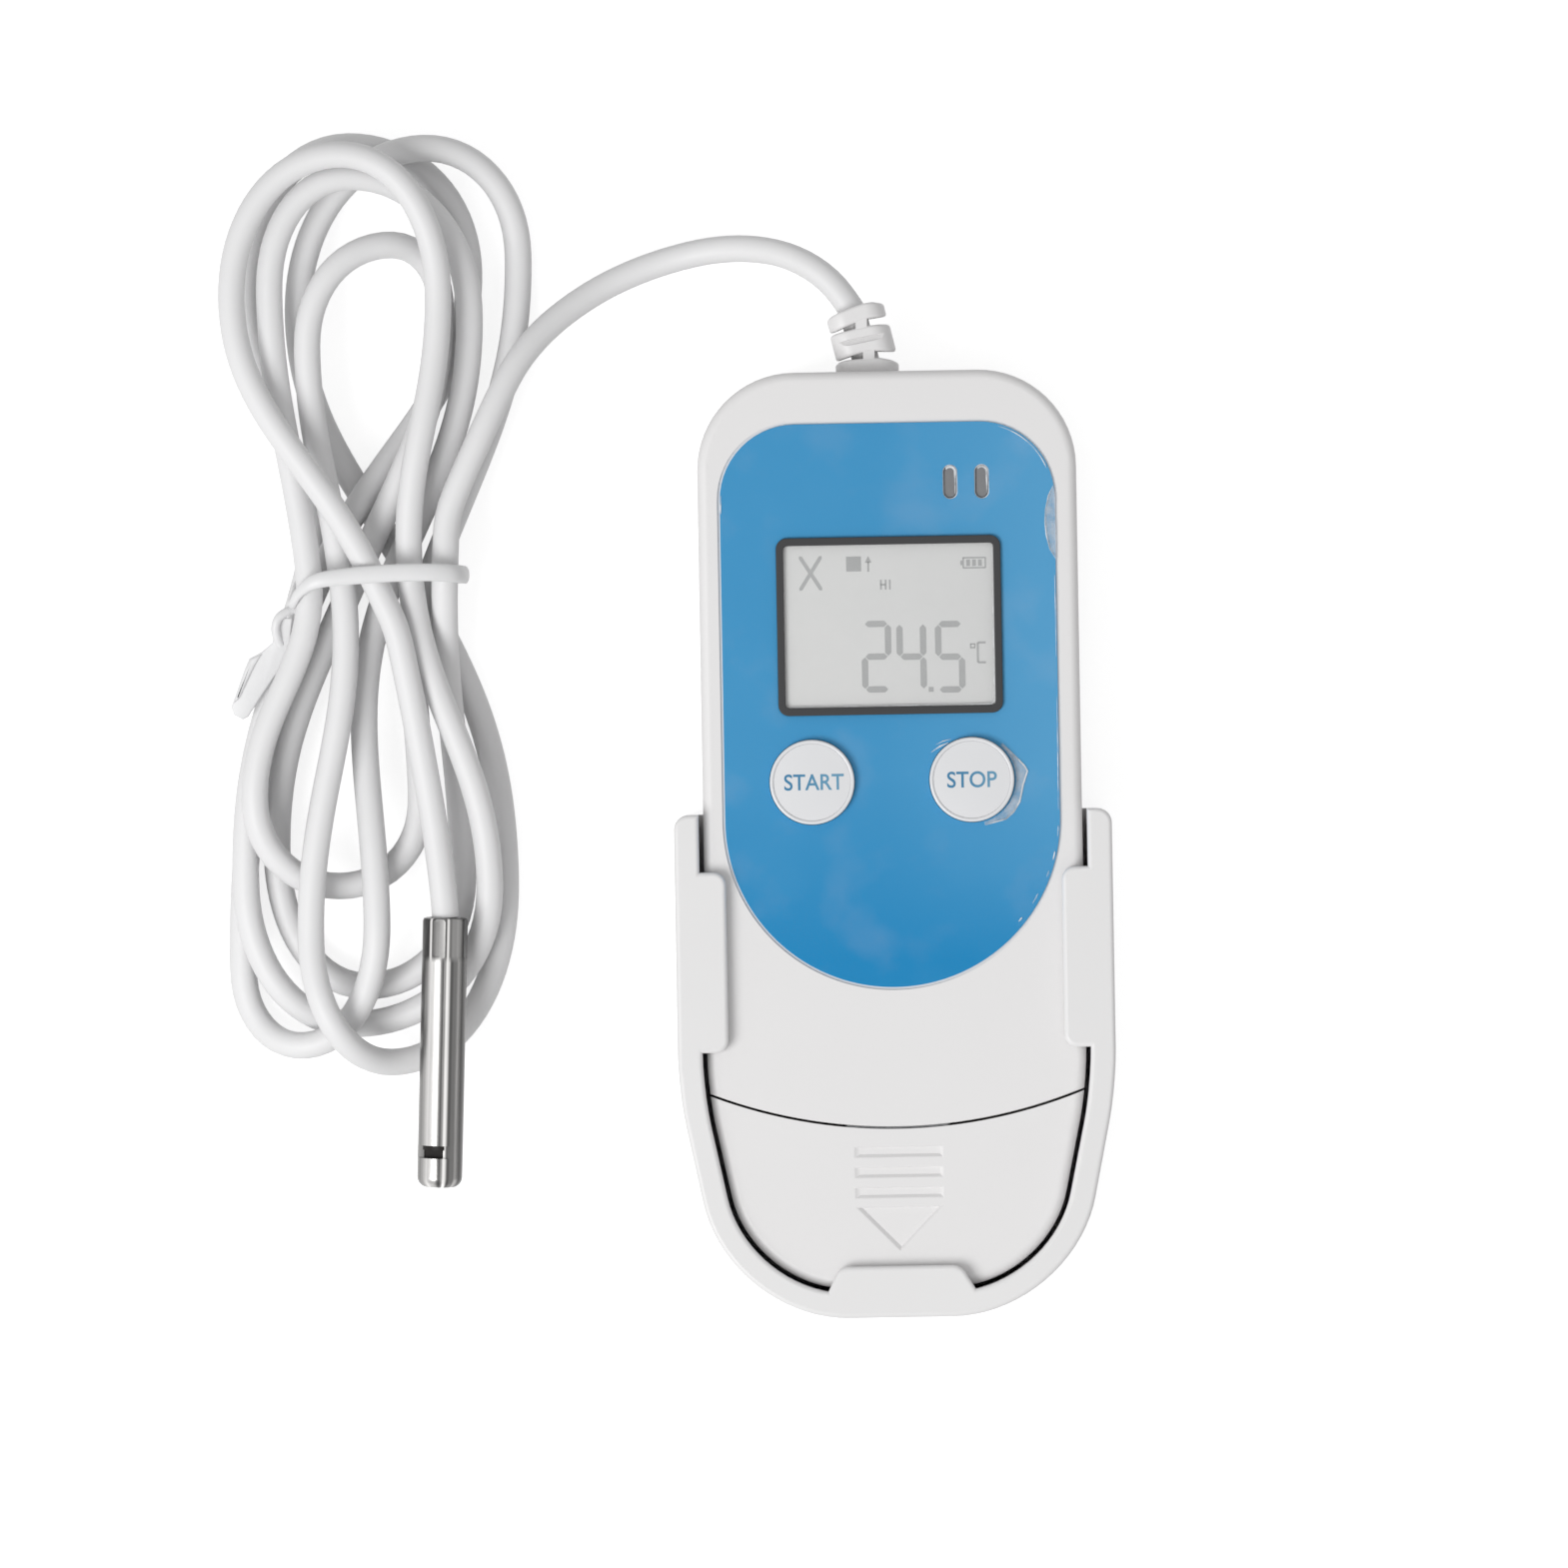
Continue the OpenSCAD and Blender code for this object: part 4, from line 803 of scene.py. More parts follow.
window = {"y": 24.2, "w": 24.3, "h": 19.1, "corner": 0.6}
lights = {"x": (7, 10.5), "y": 40, "w": 1.4, "h": 3.6, "gap": 0.1, "guide": (11.3, 15.95), "edge": 0.12}
button = {"x": 8.85, "y": 7, "radius": 4.7, "hole": 4.9}


def labelBlock(grow, low, high):
    half, top, bottom = label["half"] + grow, label["top"] + grow, label["bottom"] - grow
    bm = prism([(half, bottom), (half, top), (-half, top), (-half, bottom)], low, high)
    roundUpright(bm, mirrored(half, top), label["corner"] + grow, 14)
    return roundUpright(bm, mirrored(half, bottom), half - same["place"], 40)


def frontHoles(low, high, grow, buttonHole):
    w, h = lights["w"] + 2 * grow, lights["h"] + 2 * grow
    wide, tall = window["w"] + 2 * grow, window["h"] + 2 * grow
    parts = [
        roundBlock(0, window["y"], wide, tall, low, high, window["corner"], 3),
        bars(mirrored(button["x"], button["y"]), buttonHole, low, high, 96),
    ]
    parts += [roundBlock(x, lights["y"], w, h, low, high, w / 2 - same["place"], 8) for x in lights["x"]]
    return joined(parts)


frontShell = {"boss": 2.4, "bossRise": 0.05, "pilotTop": 14.6, "holes": (12.2, 16.2)}


def makeFrontShell():
    front, part, (_, high) = housing["frontZ"], housing["partZ"], housing["hollow"]
    bosses, lap = housing["bosses"], housing["lap"]
    shell = halfShell(front, high)
    shell = fused(shell, bars(bosses, frontShell["boss"], part + lap, high + frontShell["bossRise"], 32))
    shell = cut(
        shell,
        bars(bosses, housing["pilot"], part - 1, frontShell["pilotTop"], 24),
        labelBlock(*label["seat"], front + 1),
        frontHoles(*frontShell["holes"], 0, button["hole"]),
        mouths(),
    )
    finishPiece(shell, "frontShell", "logger", "housingWhite", ["front_shell"])


door = {
    "y": 20.5, "radius": 13, "low": 2.4, "thick": 1, "recess": 3.55, "edge": 0.3,
    "neck": 10.2, "neckLow": 2.9, "neckTop": 5.5,
    "slot": (14, 1.8), "slotDeep": 0.5, "slotCorner": 0.88, "arrow": (0.9, 9.4, 11.2), "arrowDeep": 0.25,
    "lug": (10.6, 0, 2, 4.2, 4.7, 5.5, 0.4, 3),  # a rounded block, before it is turned
    "lugTurns": (0, 120, 240),
}
backShell = {
    "groove": (1.3, 8.1), "post": 2.8, "postLow": 3.6, "head": 2, "headTop": 3.8,
    "doorGap": 0.2, "holeTop": 6,
}


def makeBackShell():
    back, part, (low, _) = housing["backZ"], housing["partZ"], housing["hollow"]
    bosses, gap, below = housing["bosses"], backShell["doorGap"], housing["backZ"] - 1
    shell = cut(halfShell(back, low), hollowBlock(*backShell["groove"], part + 1))
    shell = fused(shell, bars(bosses, backShell["post"], backShell["postLow"], part - housing["lap"], 32))
    shell = cut(
        shell,
        bars(bosses, housing["pilot"], below, part + 1, 24),
        bars(bosses, backShell["head"], below, backShell["headTop"], 40),
        bar(0, door["y"], door["radius"] + gap, below, door["recess"], 96),
        bar(0, door["y"], door["neck"] + gap, below, backShell["holeTop"], 96),
        mouths(),
    )
    finishPiece(shell, "backShell", "logger", "housingWhite", ["back_shell"])


mark = {
    "w": 9.8, "h": 1.15, "y": -34.1, "pitch": 2.25, "count": 3, "deep": 0.36, "lip": 0.06,
    "slopes": (0.36, 0.3, 0.04, 0.6), "lipSlope": 0.15, "lipInset": 0.01, "lipDeep": 0.2,
    "arrowY": -40.2, "arrowW": 9.5, "arrowH": 4.85, "arrowSlopes": (0.45, 0.22, 0.04),
}


# A recess whose walls slope by their own reach, with a soft upper edge.
def recess(points, slopes, front):
    deep = mark["deep"]
    near = inset(points, [mark["lipSlope"] * s + mark["lipInset"] for s in slopes])
    wide = inset(points, [-mark["lip"]] * len(points))
    below = [(inset(points, slopes), front - deep), (near, front - mark["lipDeep"] * deep)]
    return loft(below + [(wide, front), (wide, front + 1)])


def makeCap():
    back, front, (low, high) = housing["backZ"], housing["frontZ"], housing["hollow"]
    cap = housingBlock(0, back, front)
    for face in (front, back):
        roundRim(cap, face, housing["edge"], 8)
    cap = cut(cap, seamBar(housing["seamGap"], back - 1, front + 1))
    cap = cut(cap, cut(housingBlock(-housing["wall"], low, high), seamBar(-housing["capFloor"], back, front)))
    marks = [
        recess(rectangle(0, mark["y"] - i * mark["pitch"], mark["w"], mark["h"]), mark["slopes"], front)
        for i in range(mark["count"])
    ]
    half, y = mark["arrowW"] / 2, mark["arrowY"]
    marks.append(recess([(-half, y), (0, y - mark["arrowH"]), (half, y)], mark["arrowSlopes"], front))
    cap = cut(cap, joined(marks))
    finishPiece(cap, "usbCap", "cap", "housingWhite", ["usb_cap"])


bracket = {
    "gap": 0.5, "wall": 2.75, "plate": 2, "top": 18.1, "armTop": 3.6, "armCorner": 1.6, "rimEdge": 0.5,
    "clip": (5.65, 20), "clipAt": (21.425, -12.8), "clipLow": 16.6, "clipCorner": 1.4, "clipEdge": 0.25,
    "lip": [(-8.8, -51), (-6.7, -46.7), (6.7, -46.7), (9.3, -51)], "lipCorner": 0.9,
    "holes": [(0, -7), (0, -33)], "hole": 2.1, "sink": 4.2, "sinkFrom": (1, 2.01),
    "openSize": 80, "openPast": 5, "flatAngle": 0.5,
}


def makeBracket():
    gap, size, past = bracket["gap"], bracket["openSize"], bracket["openPast"]
    top, arm, low, grow = bracket["top"], bracket["armTop"], bracket["clipLow"], gap + bracket["wall"]
    outer = cut(housingBlock(grow, 0, top), block(0, arm + size / 2, size, size, -past, top + past))
    roundUpright(outer, mirrored(housing["halfWidth"] + grow, arm), bracket["armCorner"])
    outer = cut(outer, housingBlock(gap, bracket["plate"], top + past))
    places = mirrored(*bracket["clipAt"])
    clips = joined([roundBlock(x, y, *bracket["clip"], low, top, bracket["clipCorner"]) for x, y in places])
    lip = roundUpright(prism(bracket["lip"], low, top), bracket["lip"][1:3], bracket["lipCorner"])
    for part in (clips, lip):
        roundRim(part, low, bracket["clipEdge"], 2)
    outer = fused(outer, clips, lip)
    limit = radians(bracket["flatAngle"])
    bmesh.ops.dissolve_limit(outer, angle_limit=limit, verts=outer.verts, edges=outer.edges)
    roundRim(outer, top, bracket["rimEdge"], 5)
    roundRim(outer, 0, bracket["rimEdge"], 3)
    outer = cut(
        outer,
        bars(bracket["holes"], bracket["hole"], -1, bracket["plate"] + 1, 48),
        bars(bracket["holes"], bracket["hole"], *bracket["sinkFrom"], 48, bracket["sink"]),
    )
    finishPiece(outer, "wallBracket", "bracket", "bracketWhite", ["wall_bracket"])


makeFrontShell()
makeBackShell()
makeCap()
makeBracket()


# The outline of a strip along a path, drawn in at its ends.
def ribbon(path, width, endShare=0.25):
    path = [Vector(p) for p in path]
    left, right = [], []
    for i, point in enumerate(path):
        along = (path[min(i + 1, len(path) - 1)] - path[max(i - 1, 0)]).normalized()
        side = Vector((-along.y, along.x)) * width / 2 * (endShare if i in (0, len(path) - 1) else 1)
        left.append(tuple(point + side))
        right.append(tuple(point - side))
    return right + left[::-1]


def arcPath(x, y, radius, start, end, steps):
    angles = [radians(start + (end - start) * i / steps) for i in range(steps + 1)]
    return [(x + radius * cos(a), y + radius * sin(a)) for a in angles]


# Creases, lifted edges and bubbles of the clear film, as seen in the photo. Their lines are drawn whitish as
# painted highlights, and painted highlights also mark the lit walls of the lights' slots.
creases = {
    "low": 16.385, "high": 16.43, "bubbleLow": 16.381, "bubbleHigh": 16.4,
    "flap": [
        (12.29, 10.95), (13.79, 9.4), (14.7, 8.4), (15.01, 7.85), (14.5, 6.33), (14.09, 4.43), (13.4, 3.3),
        (12.53, 2.54), (10.22, 1.92),
    ],
    "flapInner": (8.85, 7, 4.9, -75, 49),  # an arc: centre, radius, start and end in degrees
    "bubble": [
        (18.6, 31.2), (17.9, 32.4), (17.55, 33.9), (17.43, 35.3), (17.5, 36.8), (17.85, 38.3), (18.4, 39.4),
    ],
    "bubbleInner": [(18.6, 38.4), (18.62, 35), (18.64, 33)],
    "corner": (10.2, 38.3, 8.1, 22, 74),
    # Lines by their widths: the film's real lifted edges and creases, made bright with painted highlights.
    "lines": [
        (0.12, [(18.4, 29.5), (18.43, 25), (18.42, 20.5)]), (0.1, [(18.42, 16), (18.4, 9), (18.37, 3.5)]),
        (0.22, [(-18.42, 38.9), (-18.5, 38), (-18.46, 36.9)]),
        (0.2, [(4.4, 10.1), (5.4, 10.75), (6.3, 11.1)]),
        (0.12, [(4.9, 10.9), (5.7, 11.3), (6.6, 11.5)]),
    ],
    "flapWidth": 0.17, "bubbleWidth": 0.12, "dashWidth": 0.14,
    # Dashes along the label's foot, the film's edge made bright with painted highlights: its centre, then
    # radius, start and end of each.
    "lowCentre": (0, 2.7),
    "dashes": [(18.35, -3, -7), (18.3, -12, -15), (18.2, -19, -21.5), (18.05, -28, -32), (17.95, -38, -40)],
    # A painted highlight where the upper and right walls of a light's slot catch the light: radius, how far
    # it runs down, where its arc ends, width.
    "slotRimHighlight": (0.56, 2.4, 150, 0.24),
}


def makeCreases():
    low, high = creases["low"], creases["high"]
    # The film's lifted edges and creases, drawn whitish as painted highlights.
    shapes = [ribbon(points, width) for width, points in creases["lines"]]
    shapes.append(ribbon(creases["flap"], creases["flapWidth"]))
    shapes.append(ribbon(creases["bubble"], creases["bubbleWidth"]))
    shapes.append(ribbon(arcPath(*creases["corner"], 16), creases["bubbleWidth"]))
    for radius, start, end in creases["dashes"]:
        shapes.append(ribbon(arcPath(*creases["lowCentre"], radius, start, end, 4), creases["dashWidth"]))
    # Painted highlights on the film for the lit upper and right walls of the lights' slots.
    radius, drop, end, width = creases["slotRimHighlight"]
    top = lights["y"] + lights["h"] / 2 - lights["w"] / 2
    for x in lights["x"]:
        shapes.append(ribbon([(x + radius, top - drop)] + arcPath(x, top, radius, 0, end, 10), width))
    lines = joined([prism(s, low, high) for s in shapes])
    finishPiece(lines, "filmCreasesAndHighlights", "logger", "raisedFilmAndHighlights", weighted=False)
    flap = creases["flap"] + arcPath(*creases["flapInner"], 12)
    bubble = creases["bubble"] + creases["bubbleInner"]
    areas = joined([prism(s, creases["bubbleLow"], creases["bubbleHigh"]) for s in (flap, bubble)])
    finishPiece(areas, "filmBubbles", "logger", "hazyFilm", weighted=False)


film = {"sheet": (-0.36, 16.31, 16.38), "holes": (0.2, 4.86), "opening": (25.1, 19.9), "openingCorner": 1.2}
sheetCut = (15, 17)


def frontSheet(made):
    return cut(labelBlock(*made["sheet"]), frontHoles(*sheetCut, *made["holes"]))


def makeLabel():
    finishPiece(frontSheet(label), "frontLabel", "logger", "labelBlue", ["front_label"])
    opening = roundBlock(0, window["y"], *film["opening"], *sheetCut, film["openingCorner"])
    clear = cut(frontSheet(film), opening)
    finishPiece(clear, "protectiveFilm", "logger", "clearFilm", ["protective_film"])


makeLabel()
makeCreases()

display = {
    "frame": (24.9, 19.7), "thick": 0.42, "lift": 0.01, "corner": 1.2, "edge": 0.12,
    "rim": (0.82, 0.87), "rimCorner": 0.45,
    "gap": 0.1, "paneCorner": 0.5, "face": (14.3, 16.1), "pane": (16.14, 16.37),
    # A painted highlight along the pane's right and lower edges: width, inset from the rim, how far it stops
    # short above, corner, heights.
    "glint": (0.13, 0.12, 0.4, 0.3), "glintRise": (0.01, 0.05),
}


def makeDisplay():
    w, h = display["frame"]
    low, y = housing["frontZ"] + display["lift"], window["y"]
    high = low + display["thick"]
    rimX, rimY = display["rim"]
    rim = roundBlock(0, y, w, h, low, high, display["corner"])
    rim = cut(rim, roundBlock(0, y, w - 2 * rimX, h - 2 * rimY, low - 1, low + 1, display["rimCorner"], 4))
    roundRim(rim, high, display["edge"], 2)
    finishPiece(rim, "displayFrame", "logger", "frameGrey", ["lcd_frame"])
    size, corner = [window["w"] - display["gap"], window["h"] - display["gap"]], display["paneCorner"]
    pane, face = (roundBlock(0, y, *size, *display[name], corner, 3) for name in ("pane", "face"))
    finishPiece(pane, "displayPane", "logger", "clearPane", ["lcd_window"])
    finishPiece(face, "displayFace", "logger", "displayGrey")
    # The pane's edge glint is a painted highlight, a whitish strip on the pane.
    width, within, short, corner = display["glint"]
    right, bottom, top = w / 2 - rimX - within, y - h / 2 + rimY + within, y + h / 2 - rimY - short
    path = [(right, top), (right, bottom + corner), (right - corner, bottom), (-right, bottom)]
    glint = prism(ribbon(path, width), *(display["pane"][1] + rise for rise in display["glintRise"]))
    finishPiece(glint, "paneGlint", "logger", "raisedFilmAndHighlights", weighted=False)


makeDisplay()

segments = {
    "thick": 0.7, "gap": 0.07, "lift": 0.004, "rise": 0.019,
    "digits": [("2", -1.47, -3.42), ("4", 2.41, -3.49), ("5", 6.68, -3.57)],
    "digitSize": (3.3, 7.95),
    "lit": {"2": "abged", "4": "fbgc", "5": "afgcd"},
    "cross": [(-9.85, 7.85, -7.4, 4.0), (-7.4, 7.85, -9.85, 4.0)],
    "crossThick": 0.42,
    # The signs' rectangles: centre, width and height.
    "signs": [
        (-3.84, 6.88, 1.66, 1.66), (-2.23, 6.55, 0.2, 1.1),
        (-0.86, 4.54, 0.2, 1.1), (-0.33, 4.54, 0.2, 1.1), (-0.6, 4.54, 0.5, 0.18), (0.13, 4.54, 0.2, 1.1),
        (9.5, 7.36, 2.4, 0.16), (9.5, 6.24, 2.4, 0.16), (8.3, 6.8, 0.16, 1.2), (10.75, 6.8, 0.16, 1.2),
        (8.1, 6.8, 0.22, 0.5), (8.85, 6.8, 0.42, 0.72), (9.5, 6.8, 0.42, 0.72), (10.15, 6.8, 0.42, 0.72),
        (4.51, -7.15, 0.55, 0.55),
        (9.2, -2.2, 0.5, 0.14), (9.2, -2.6, 0.5, 0.14), (8.98, -2.4, 0.14, 0.5), (9.42, -2.4, 0.14, 0.5),
        (10.2, -2.05, 0.85, 0.24), (10.2, -4.25, 0.85, 0.24), (9.75, -3.15, 0.24, 2.2),
    ],
    "arrowHead": [(-2.6, 7.0), (-1.86, 7.0), (-2.23, 7.75)],
}


# A stroke with pointed ends.
def stroke(x0, y0, x1, y1, width):
    a, b = Vector((x0, y0)), Vector((x1, y1))
    along = (b - a).normalized()
    side = Vector((-along.y, along.x)) * width / 2
    tip = along * min(width, (b - a).length) / 2
    return [a, a + tip + side, b - tip + side, b, b - tip - side, a + tip - side]


def digitStrokes(digit, x, y):
    w, h = segments["digitSize"]
    t, gap = segments["thick"], segments["gap"]
    left, right = x - w / 2 + t / 2, x + w / 2 - t / 2
    low, high = y - h / 2 + t / 2, y + h / 2 - t / 2
    ends = {
        "a": (left, high, right, high), "g": (left, y, right, y), "d": (left, low, right, low),
        "f": (left, y, left, high), "b": (right, y, right, high),
        "e": (left, low, left, y), "c": (right, low, right, y),
    }
    shapes = []
    for name in segments["lit"][digit]:
        x0, y0, x1, y1 = ends[name]
        dx, dy = (gap, 0) if y0 == y1 else (0, gap)
        shapes.append(stroke(x0 + dx, y0 + dy, x1 - dx, y1 - dy, t))
    return shapes


def makeSegments():
    low, high = (display["face"][1] + segments[name] for name in ("lift", "rise"))

    def flat(shape):
        return prism([(x, y + window["y"]) for x, y in shape], low, high)

    shapes = [rectangle(*sign) for sign in segments["signs"]] + [segments["arrowHead"]]
    for digit in segments["digits"]:
        shapes += digitStrokes(*digit)
    cross = fused(*(flat(stroke(*ends, segments["crossThick"])) for ends in segments["cross"]))
    whole = joined([flat(shape) for shape in shapes] + [cross])
    finishPiece(whole, "displaySegments", "logger", "segmentGrey", weighted=False)


makeSegments()


def makeLightGuides():
    low, high = lights["guide"]
    w, h = lights["w"] - lights["gap"], lights["h"] - lights["gap"]
    guides = [roundBlock(x, lights["y"], w, h, low, high, w / 2 - same["place"], 8) for x in lights["x"]]
    whole = joined([roundRim(guide, high, lights["edge"], 2) for guide in guides])
    finishPiece(whole, "lightGuides", "logger", "guideGrey", ["light_guides"])


makeLightGuides()

press = {
    "rise": 0.95, "rim": 0.45, "dish": 0.12,
    "low": 12.8, "stem": 1.6, "flange": 0.3, "flangeZ": (13.3, 14.1),
    "text": {"start": ("START", 6.6, 0.2), "stop": ("STOP", 5.5, 0)},  # words, width, shift
    "textHeight": 1.8, "textBolder": 0.01, "textSunk": 0.02, "textThick": 0.045,
}


def domeHeight(r):
    inner = button["radius"] - press["rim"]
    return housing["frontZ"] + press["rise"] - press["dish"] * min(1, r / inner) ** 2


def buttonProfile():
    r, half, top = button["radius"], press["rim"] / 2, housing["frontZ"] + press["rise"]
    low, stem, wide, (flange, wall) = press["low"], press["stem"], r + press["flange"], press["flangeZ"]
    profile = [(0, low), (stem, low), (stem, flange), (wide, flange), (wide, wall), (r, wall)]
    profile += arcPath(r - half, top - half, half, 0, 180, 12)
    inner = [(r - 2 * half) * step / 8 for step in range(8, -1, -1)]
    return profile + [(x, domeHeight(x)) for x in inner]


# A flat outline of the words, centred and brought to its width and height.
def wordsMesh(words, width, shift):
    data = bpy.data.curves.new("words", "FONT")
    data.body = words
    data.align_x = "CENTER"
    data.align_y = "CENTER"
    data.offset = press["textBolder"]
    data.extrude = 0
    data.resolution_u = 6
    flat = addObject("words", data)
    mesh = bpy.data.meshes.new_from_object(flat.evaluated_get(bpy.context.evaluated_depsgraph_get()))
    bpy.data.objects.remove(flat)
    bm = bmesh.new()
    bm.from_mesh(mesh)
    bmesh.ops.remove_doubles(bm, verts=bm.verts, dist=0.0001)
    low, high = ([pick(v.co[i] for v in bm.verts) for i in (0, 1)] for pick in (min, max))
    centring = Matrix.Translation([-(a + b) / 2 for a, b in zip(low, high)] + [0])
    size = Matrix.Diagonal((width / (high[0] - low[0]), press["textHeight"] / (high[1] - low[1]), 1, 1))
    return moved(bm, Matrix.Translation((shift, 0, 0)) @ size @ centring)


def makeButtons():
    for side, body in ((-1, "start"), (1, "stop")):
        place = Matrix.Translation((side * button["x"], button["y"], 0))
        knob = moved(turned(buttonProfile(), 72), place)
        finishPiece(knob, body + "Button", body, "buttonWhite", [body + "_button"], 40)
        bm = wordsMesh(*press["text"][body])
        raised = bmesh.ops.extrude_face_region(bm, geom=bm.faces[:])["geom"]
        for v in bm.verts:
            v.co.z = domeHeight(hypot(v.co.x, v.co.y)) - press["textSunk"]
        bmesh.ops.translate(bm, vec=(0, 0, press["textThick"]), verts=verticesOf(raised))
        moved(bm, place)
        bmesh.ops.recalc_face_normals(bm, faces=bm.faces)
        finishPiece(bm, body + "Words", body, "printBlue", smoothAngle=30, weighted=False)


makeButtons()

relief = {
    "depth": 6.8, "corner": 2.2, "edge": 0.35, "slice": 0.5, "slices": 6,
    "sweep": (-2.15, 54.8, -0.24),  # the middle's place, and how far it leans for each step up
    "stem": [(2.6, -3.2, 1, 40), (3.4, -3.3, -2, 48)],
    "core": (1.5, (-1.97, 53.33), (-3.59, 59.61)),
    "foot": {
        "width": 7, "at": -1.92,
        "low": [(-5.4, 52.2), (1.6, 52.2)],
        "high": [
            (-5.42, 53.25), (-4.9, 53.55), (-4.31, 53.7), (-3.46, 53.8), (-2.37, 53.88), (-1.37, 53.94),
            (-0.55, 53.94), (-0.08, 53.85), (0.8, 53.67), (1.55, 53.35),
        ],
    },
    "lower": {
        "width": 6.9,
        "low": [
            (-5.45, 53.52), (-4.42, 53.93), (-3.45, 54.24), (-2.48, 54.52), (-1.77, 54.64), (-1.09, 54.69),
            (1.2, 54.62),
        ],
        "high": [
            (-5.85, 56.45), (-5.37, 56.65), (-4.25, 56.95), (-3.13, 57.24), (-1.9, 57.5), (-0.54, 57.64),
            (0.6, 57.66),
        ],
    },
    "upper": {
        "width": 6.75,
        "low": [
            (-6.1, 56.65), (-5.13, 57.02), (-4.25, 57.41), (-3.18, 57.84), (-1.94, 58.26), (-1, 58.38),
            (0.2, 58.55),
        ],
        "high": [
            (-6.3, 58.2), (-5.69, 58.65), (-4.98, 59.02), (-3.56, 59.58), (-2.15, 60.03), (-1.26, 60.15),
            (0.1, 59.95),
        ],
    },
    "webs": [
        [(-2.38, 53.69), (-1.11, 53.73), (-1.09, 54.81), (-2.37, 54.66)],
        [(-3.15, 56.99), (-1.9, 57.32), (-1.88, 58.44), (-3.13, 57.99)],
    ],
    "webDepth": 3.3,
    # The groove's profile runs up the picture, then towards the viewer.
    "groove": [(-0.6, 0.3), (-0.34, -0.22), (0.14, -0.5), (0.24, 0.3)],
    "grooveAt": (-2.51, 56.05), "grooveTurn": 11, "grooveLength": 5.1,
}


def lineAt(points, x):
    if x <= points[0][0]:
        return points[0][1]
    for (x0, y0), (x1, y1) in zip(points, points[1:]):
        if x <= x1:
            return y0 + (y1 - y0) * (x - x0) / (x1 - x0)
    return points[-1][1]


# A rounded square tier whose lower and upper faces follow lines in the front view.
def reliefTier(made):
    x0, y0, slope = relief["sweep"]
    thick = lineAt(made["high"], x0) - lineAt(made["low"], x0)
    bm = roundBlock(0, 0, made["width"], relief["depth"], 0, thick, relief["corner"], 10)
    for height in (0, thick):
        roundRim(bm, height, relief["edge"], 4)
    for i in range(-relief["slices"], relief["slices"] + 1):
        everything = bm.verts[:] + bm.edges[:] + bm.faces[:]
        bmesh.ops.bisect_plane(bm, geom=everything, plane_co=(i * relief["slice"], 0, 0), plane_no=(1, 0, 0))
    for v in bm.verts:
        share, x = v.co.z / thick, v.co.x + x0
        for _ in range(3):
            y = lineAt(made["low"], x) * (1 - share) + lineAt(made["high"], x) * share
            x = v.co.x + made.get("at", x0 + slope * (y - y0))
        v.co = (x, y, gland["at"][2] - v.co.y)
    return bm


def makeRelief():
    z = gland["at"][2]
    stem = fused(*(bar(0, 0, *measures) for measures in relief["stem"]))
    moved(stem, Matrix.Translation(gland["at"]) @ turnAbout("X", -90))
    radius, start, end = relief["core"]
    run = Vector((*end, z)) - Vector((*start, z))
    towards = run.to_track_quat("Z", "Y").to_matrix().to_4x4()
    core = moved(bar(0, 0, radius, 0, run.length, 40), Matrix.Translation((*start, z)) @ towards)
    webs = [prism(points, z - relief["webDepth"], z + relief["webDepth"]) for points in relief["webs"]]
    foot, lower, upper = (reliefTier(relief[name]) for name in ("foot", "lower", "upper"))
    whole = fused(foot, stem, core, lower, upper, *webs)
    half = relief["grooveLength"] / 2
    groove = prism(relief["groove"], -half, half)
    swung = Matrix(((0, 0, 1, 0), (1, 0, 0, 0), (0, 1, 0, 0), (0, 0, 0, 1)))
    place = Matrix.Translation((*relief["grooveAt"], z + relief["depth"] / 2))
    moved(groove, place @ turnAbout("Z", relief["grooveTurn"]) @ swung)
    bmesh.ops.recalc_face_normals(groove, faces=groove.faces)
    whole = cut(whole, groove)
    return finishPiece(whole, "strainRelief", "logger", "housingWhite", ["cable_gland"])


reliefPiece = makeRelief()


def ventSlot(grow):
    low, high = probe["vent"]
    r, deep = probe["radius"], probe["ventDepth"]
    slot = block(0, r, 3 * r, 2 * (deep + 2 * grow), low - grow, high + grow)
    return moved(slot, turnAbout("Z", probe["ventTurn"]))


def makeProbe():
    r, length, tip, bore, hole = (probe[name] for name in ("radius", "length", "tipRadius", "bore", "hole"))
    profile = [(hole + x, z) for x, z in probe["lipInner"]] + [(r - x, z) for x, z in probe["lipOuter"]]
    profile += [(r, z) for z in (*probe["rings"], length - tip)]
    profile += arcPath(r - tip, length - tip, tip, 0, 90, 8)[1:]
    inside = length - probe["endWall"]
    profile += [(0, length), (0, inside), (bore - probe["boreCorner"], inside), (bore, length - tip)]
    profile += [(bore, probe["boreStart"]), (hole, probe["holeEnd"]), profile[0]]
    # Eight flats, which run out where the tube becomes round.
    flats = loft([(arcPath(0, 0, half / cos(pi / 8), 0, 315, 7), z) for z, half in probe["flats"]])
    moved(flats, turnAbout("Z", probe["flatTurn"]))
    tube = cut(common(turned(profile, 128), flats), ventSlot(0))
    moved(tube, probePlace)
    tubePiece = finishPiece(
        tube, "steelProbe", "logger", "steelPaintedReflections", ["probe_tube"], smoothAngle=24,
    )
    (low, high), gap = probe["resin"], probe["resinGap"]
    wide = bore - gap
    resin = cut(turned([(0, low), (wide, low), (wide, high), (0, high)], 64), ventSlot(gap))
    moved(resin, probePlace)
    return tubePiece, finishPiece(resin, "ventResin", "logger", "resinBlack")


probePiece, resinPiece = makeProbe()

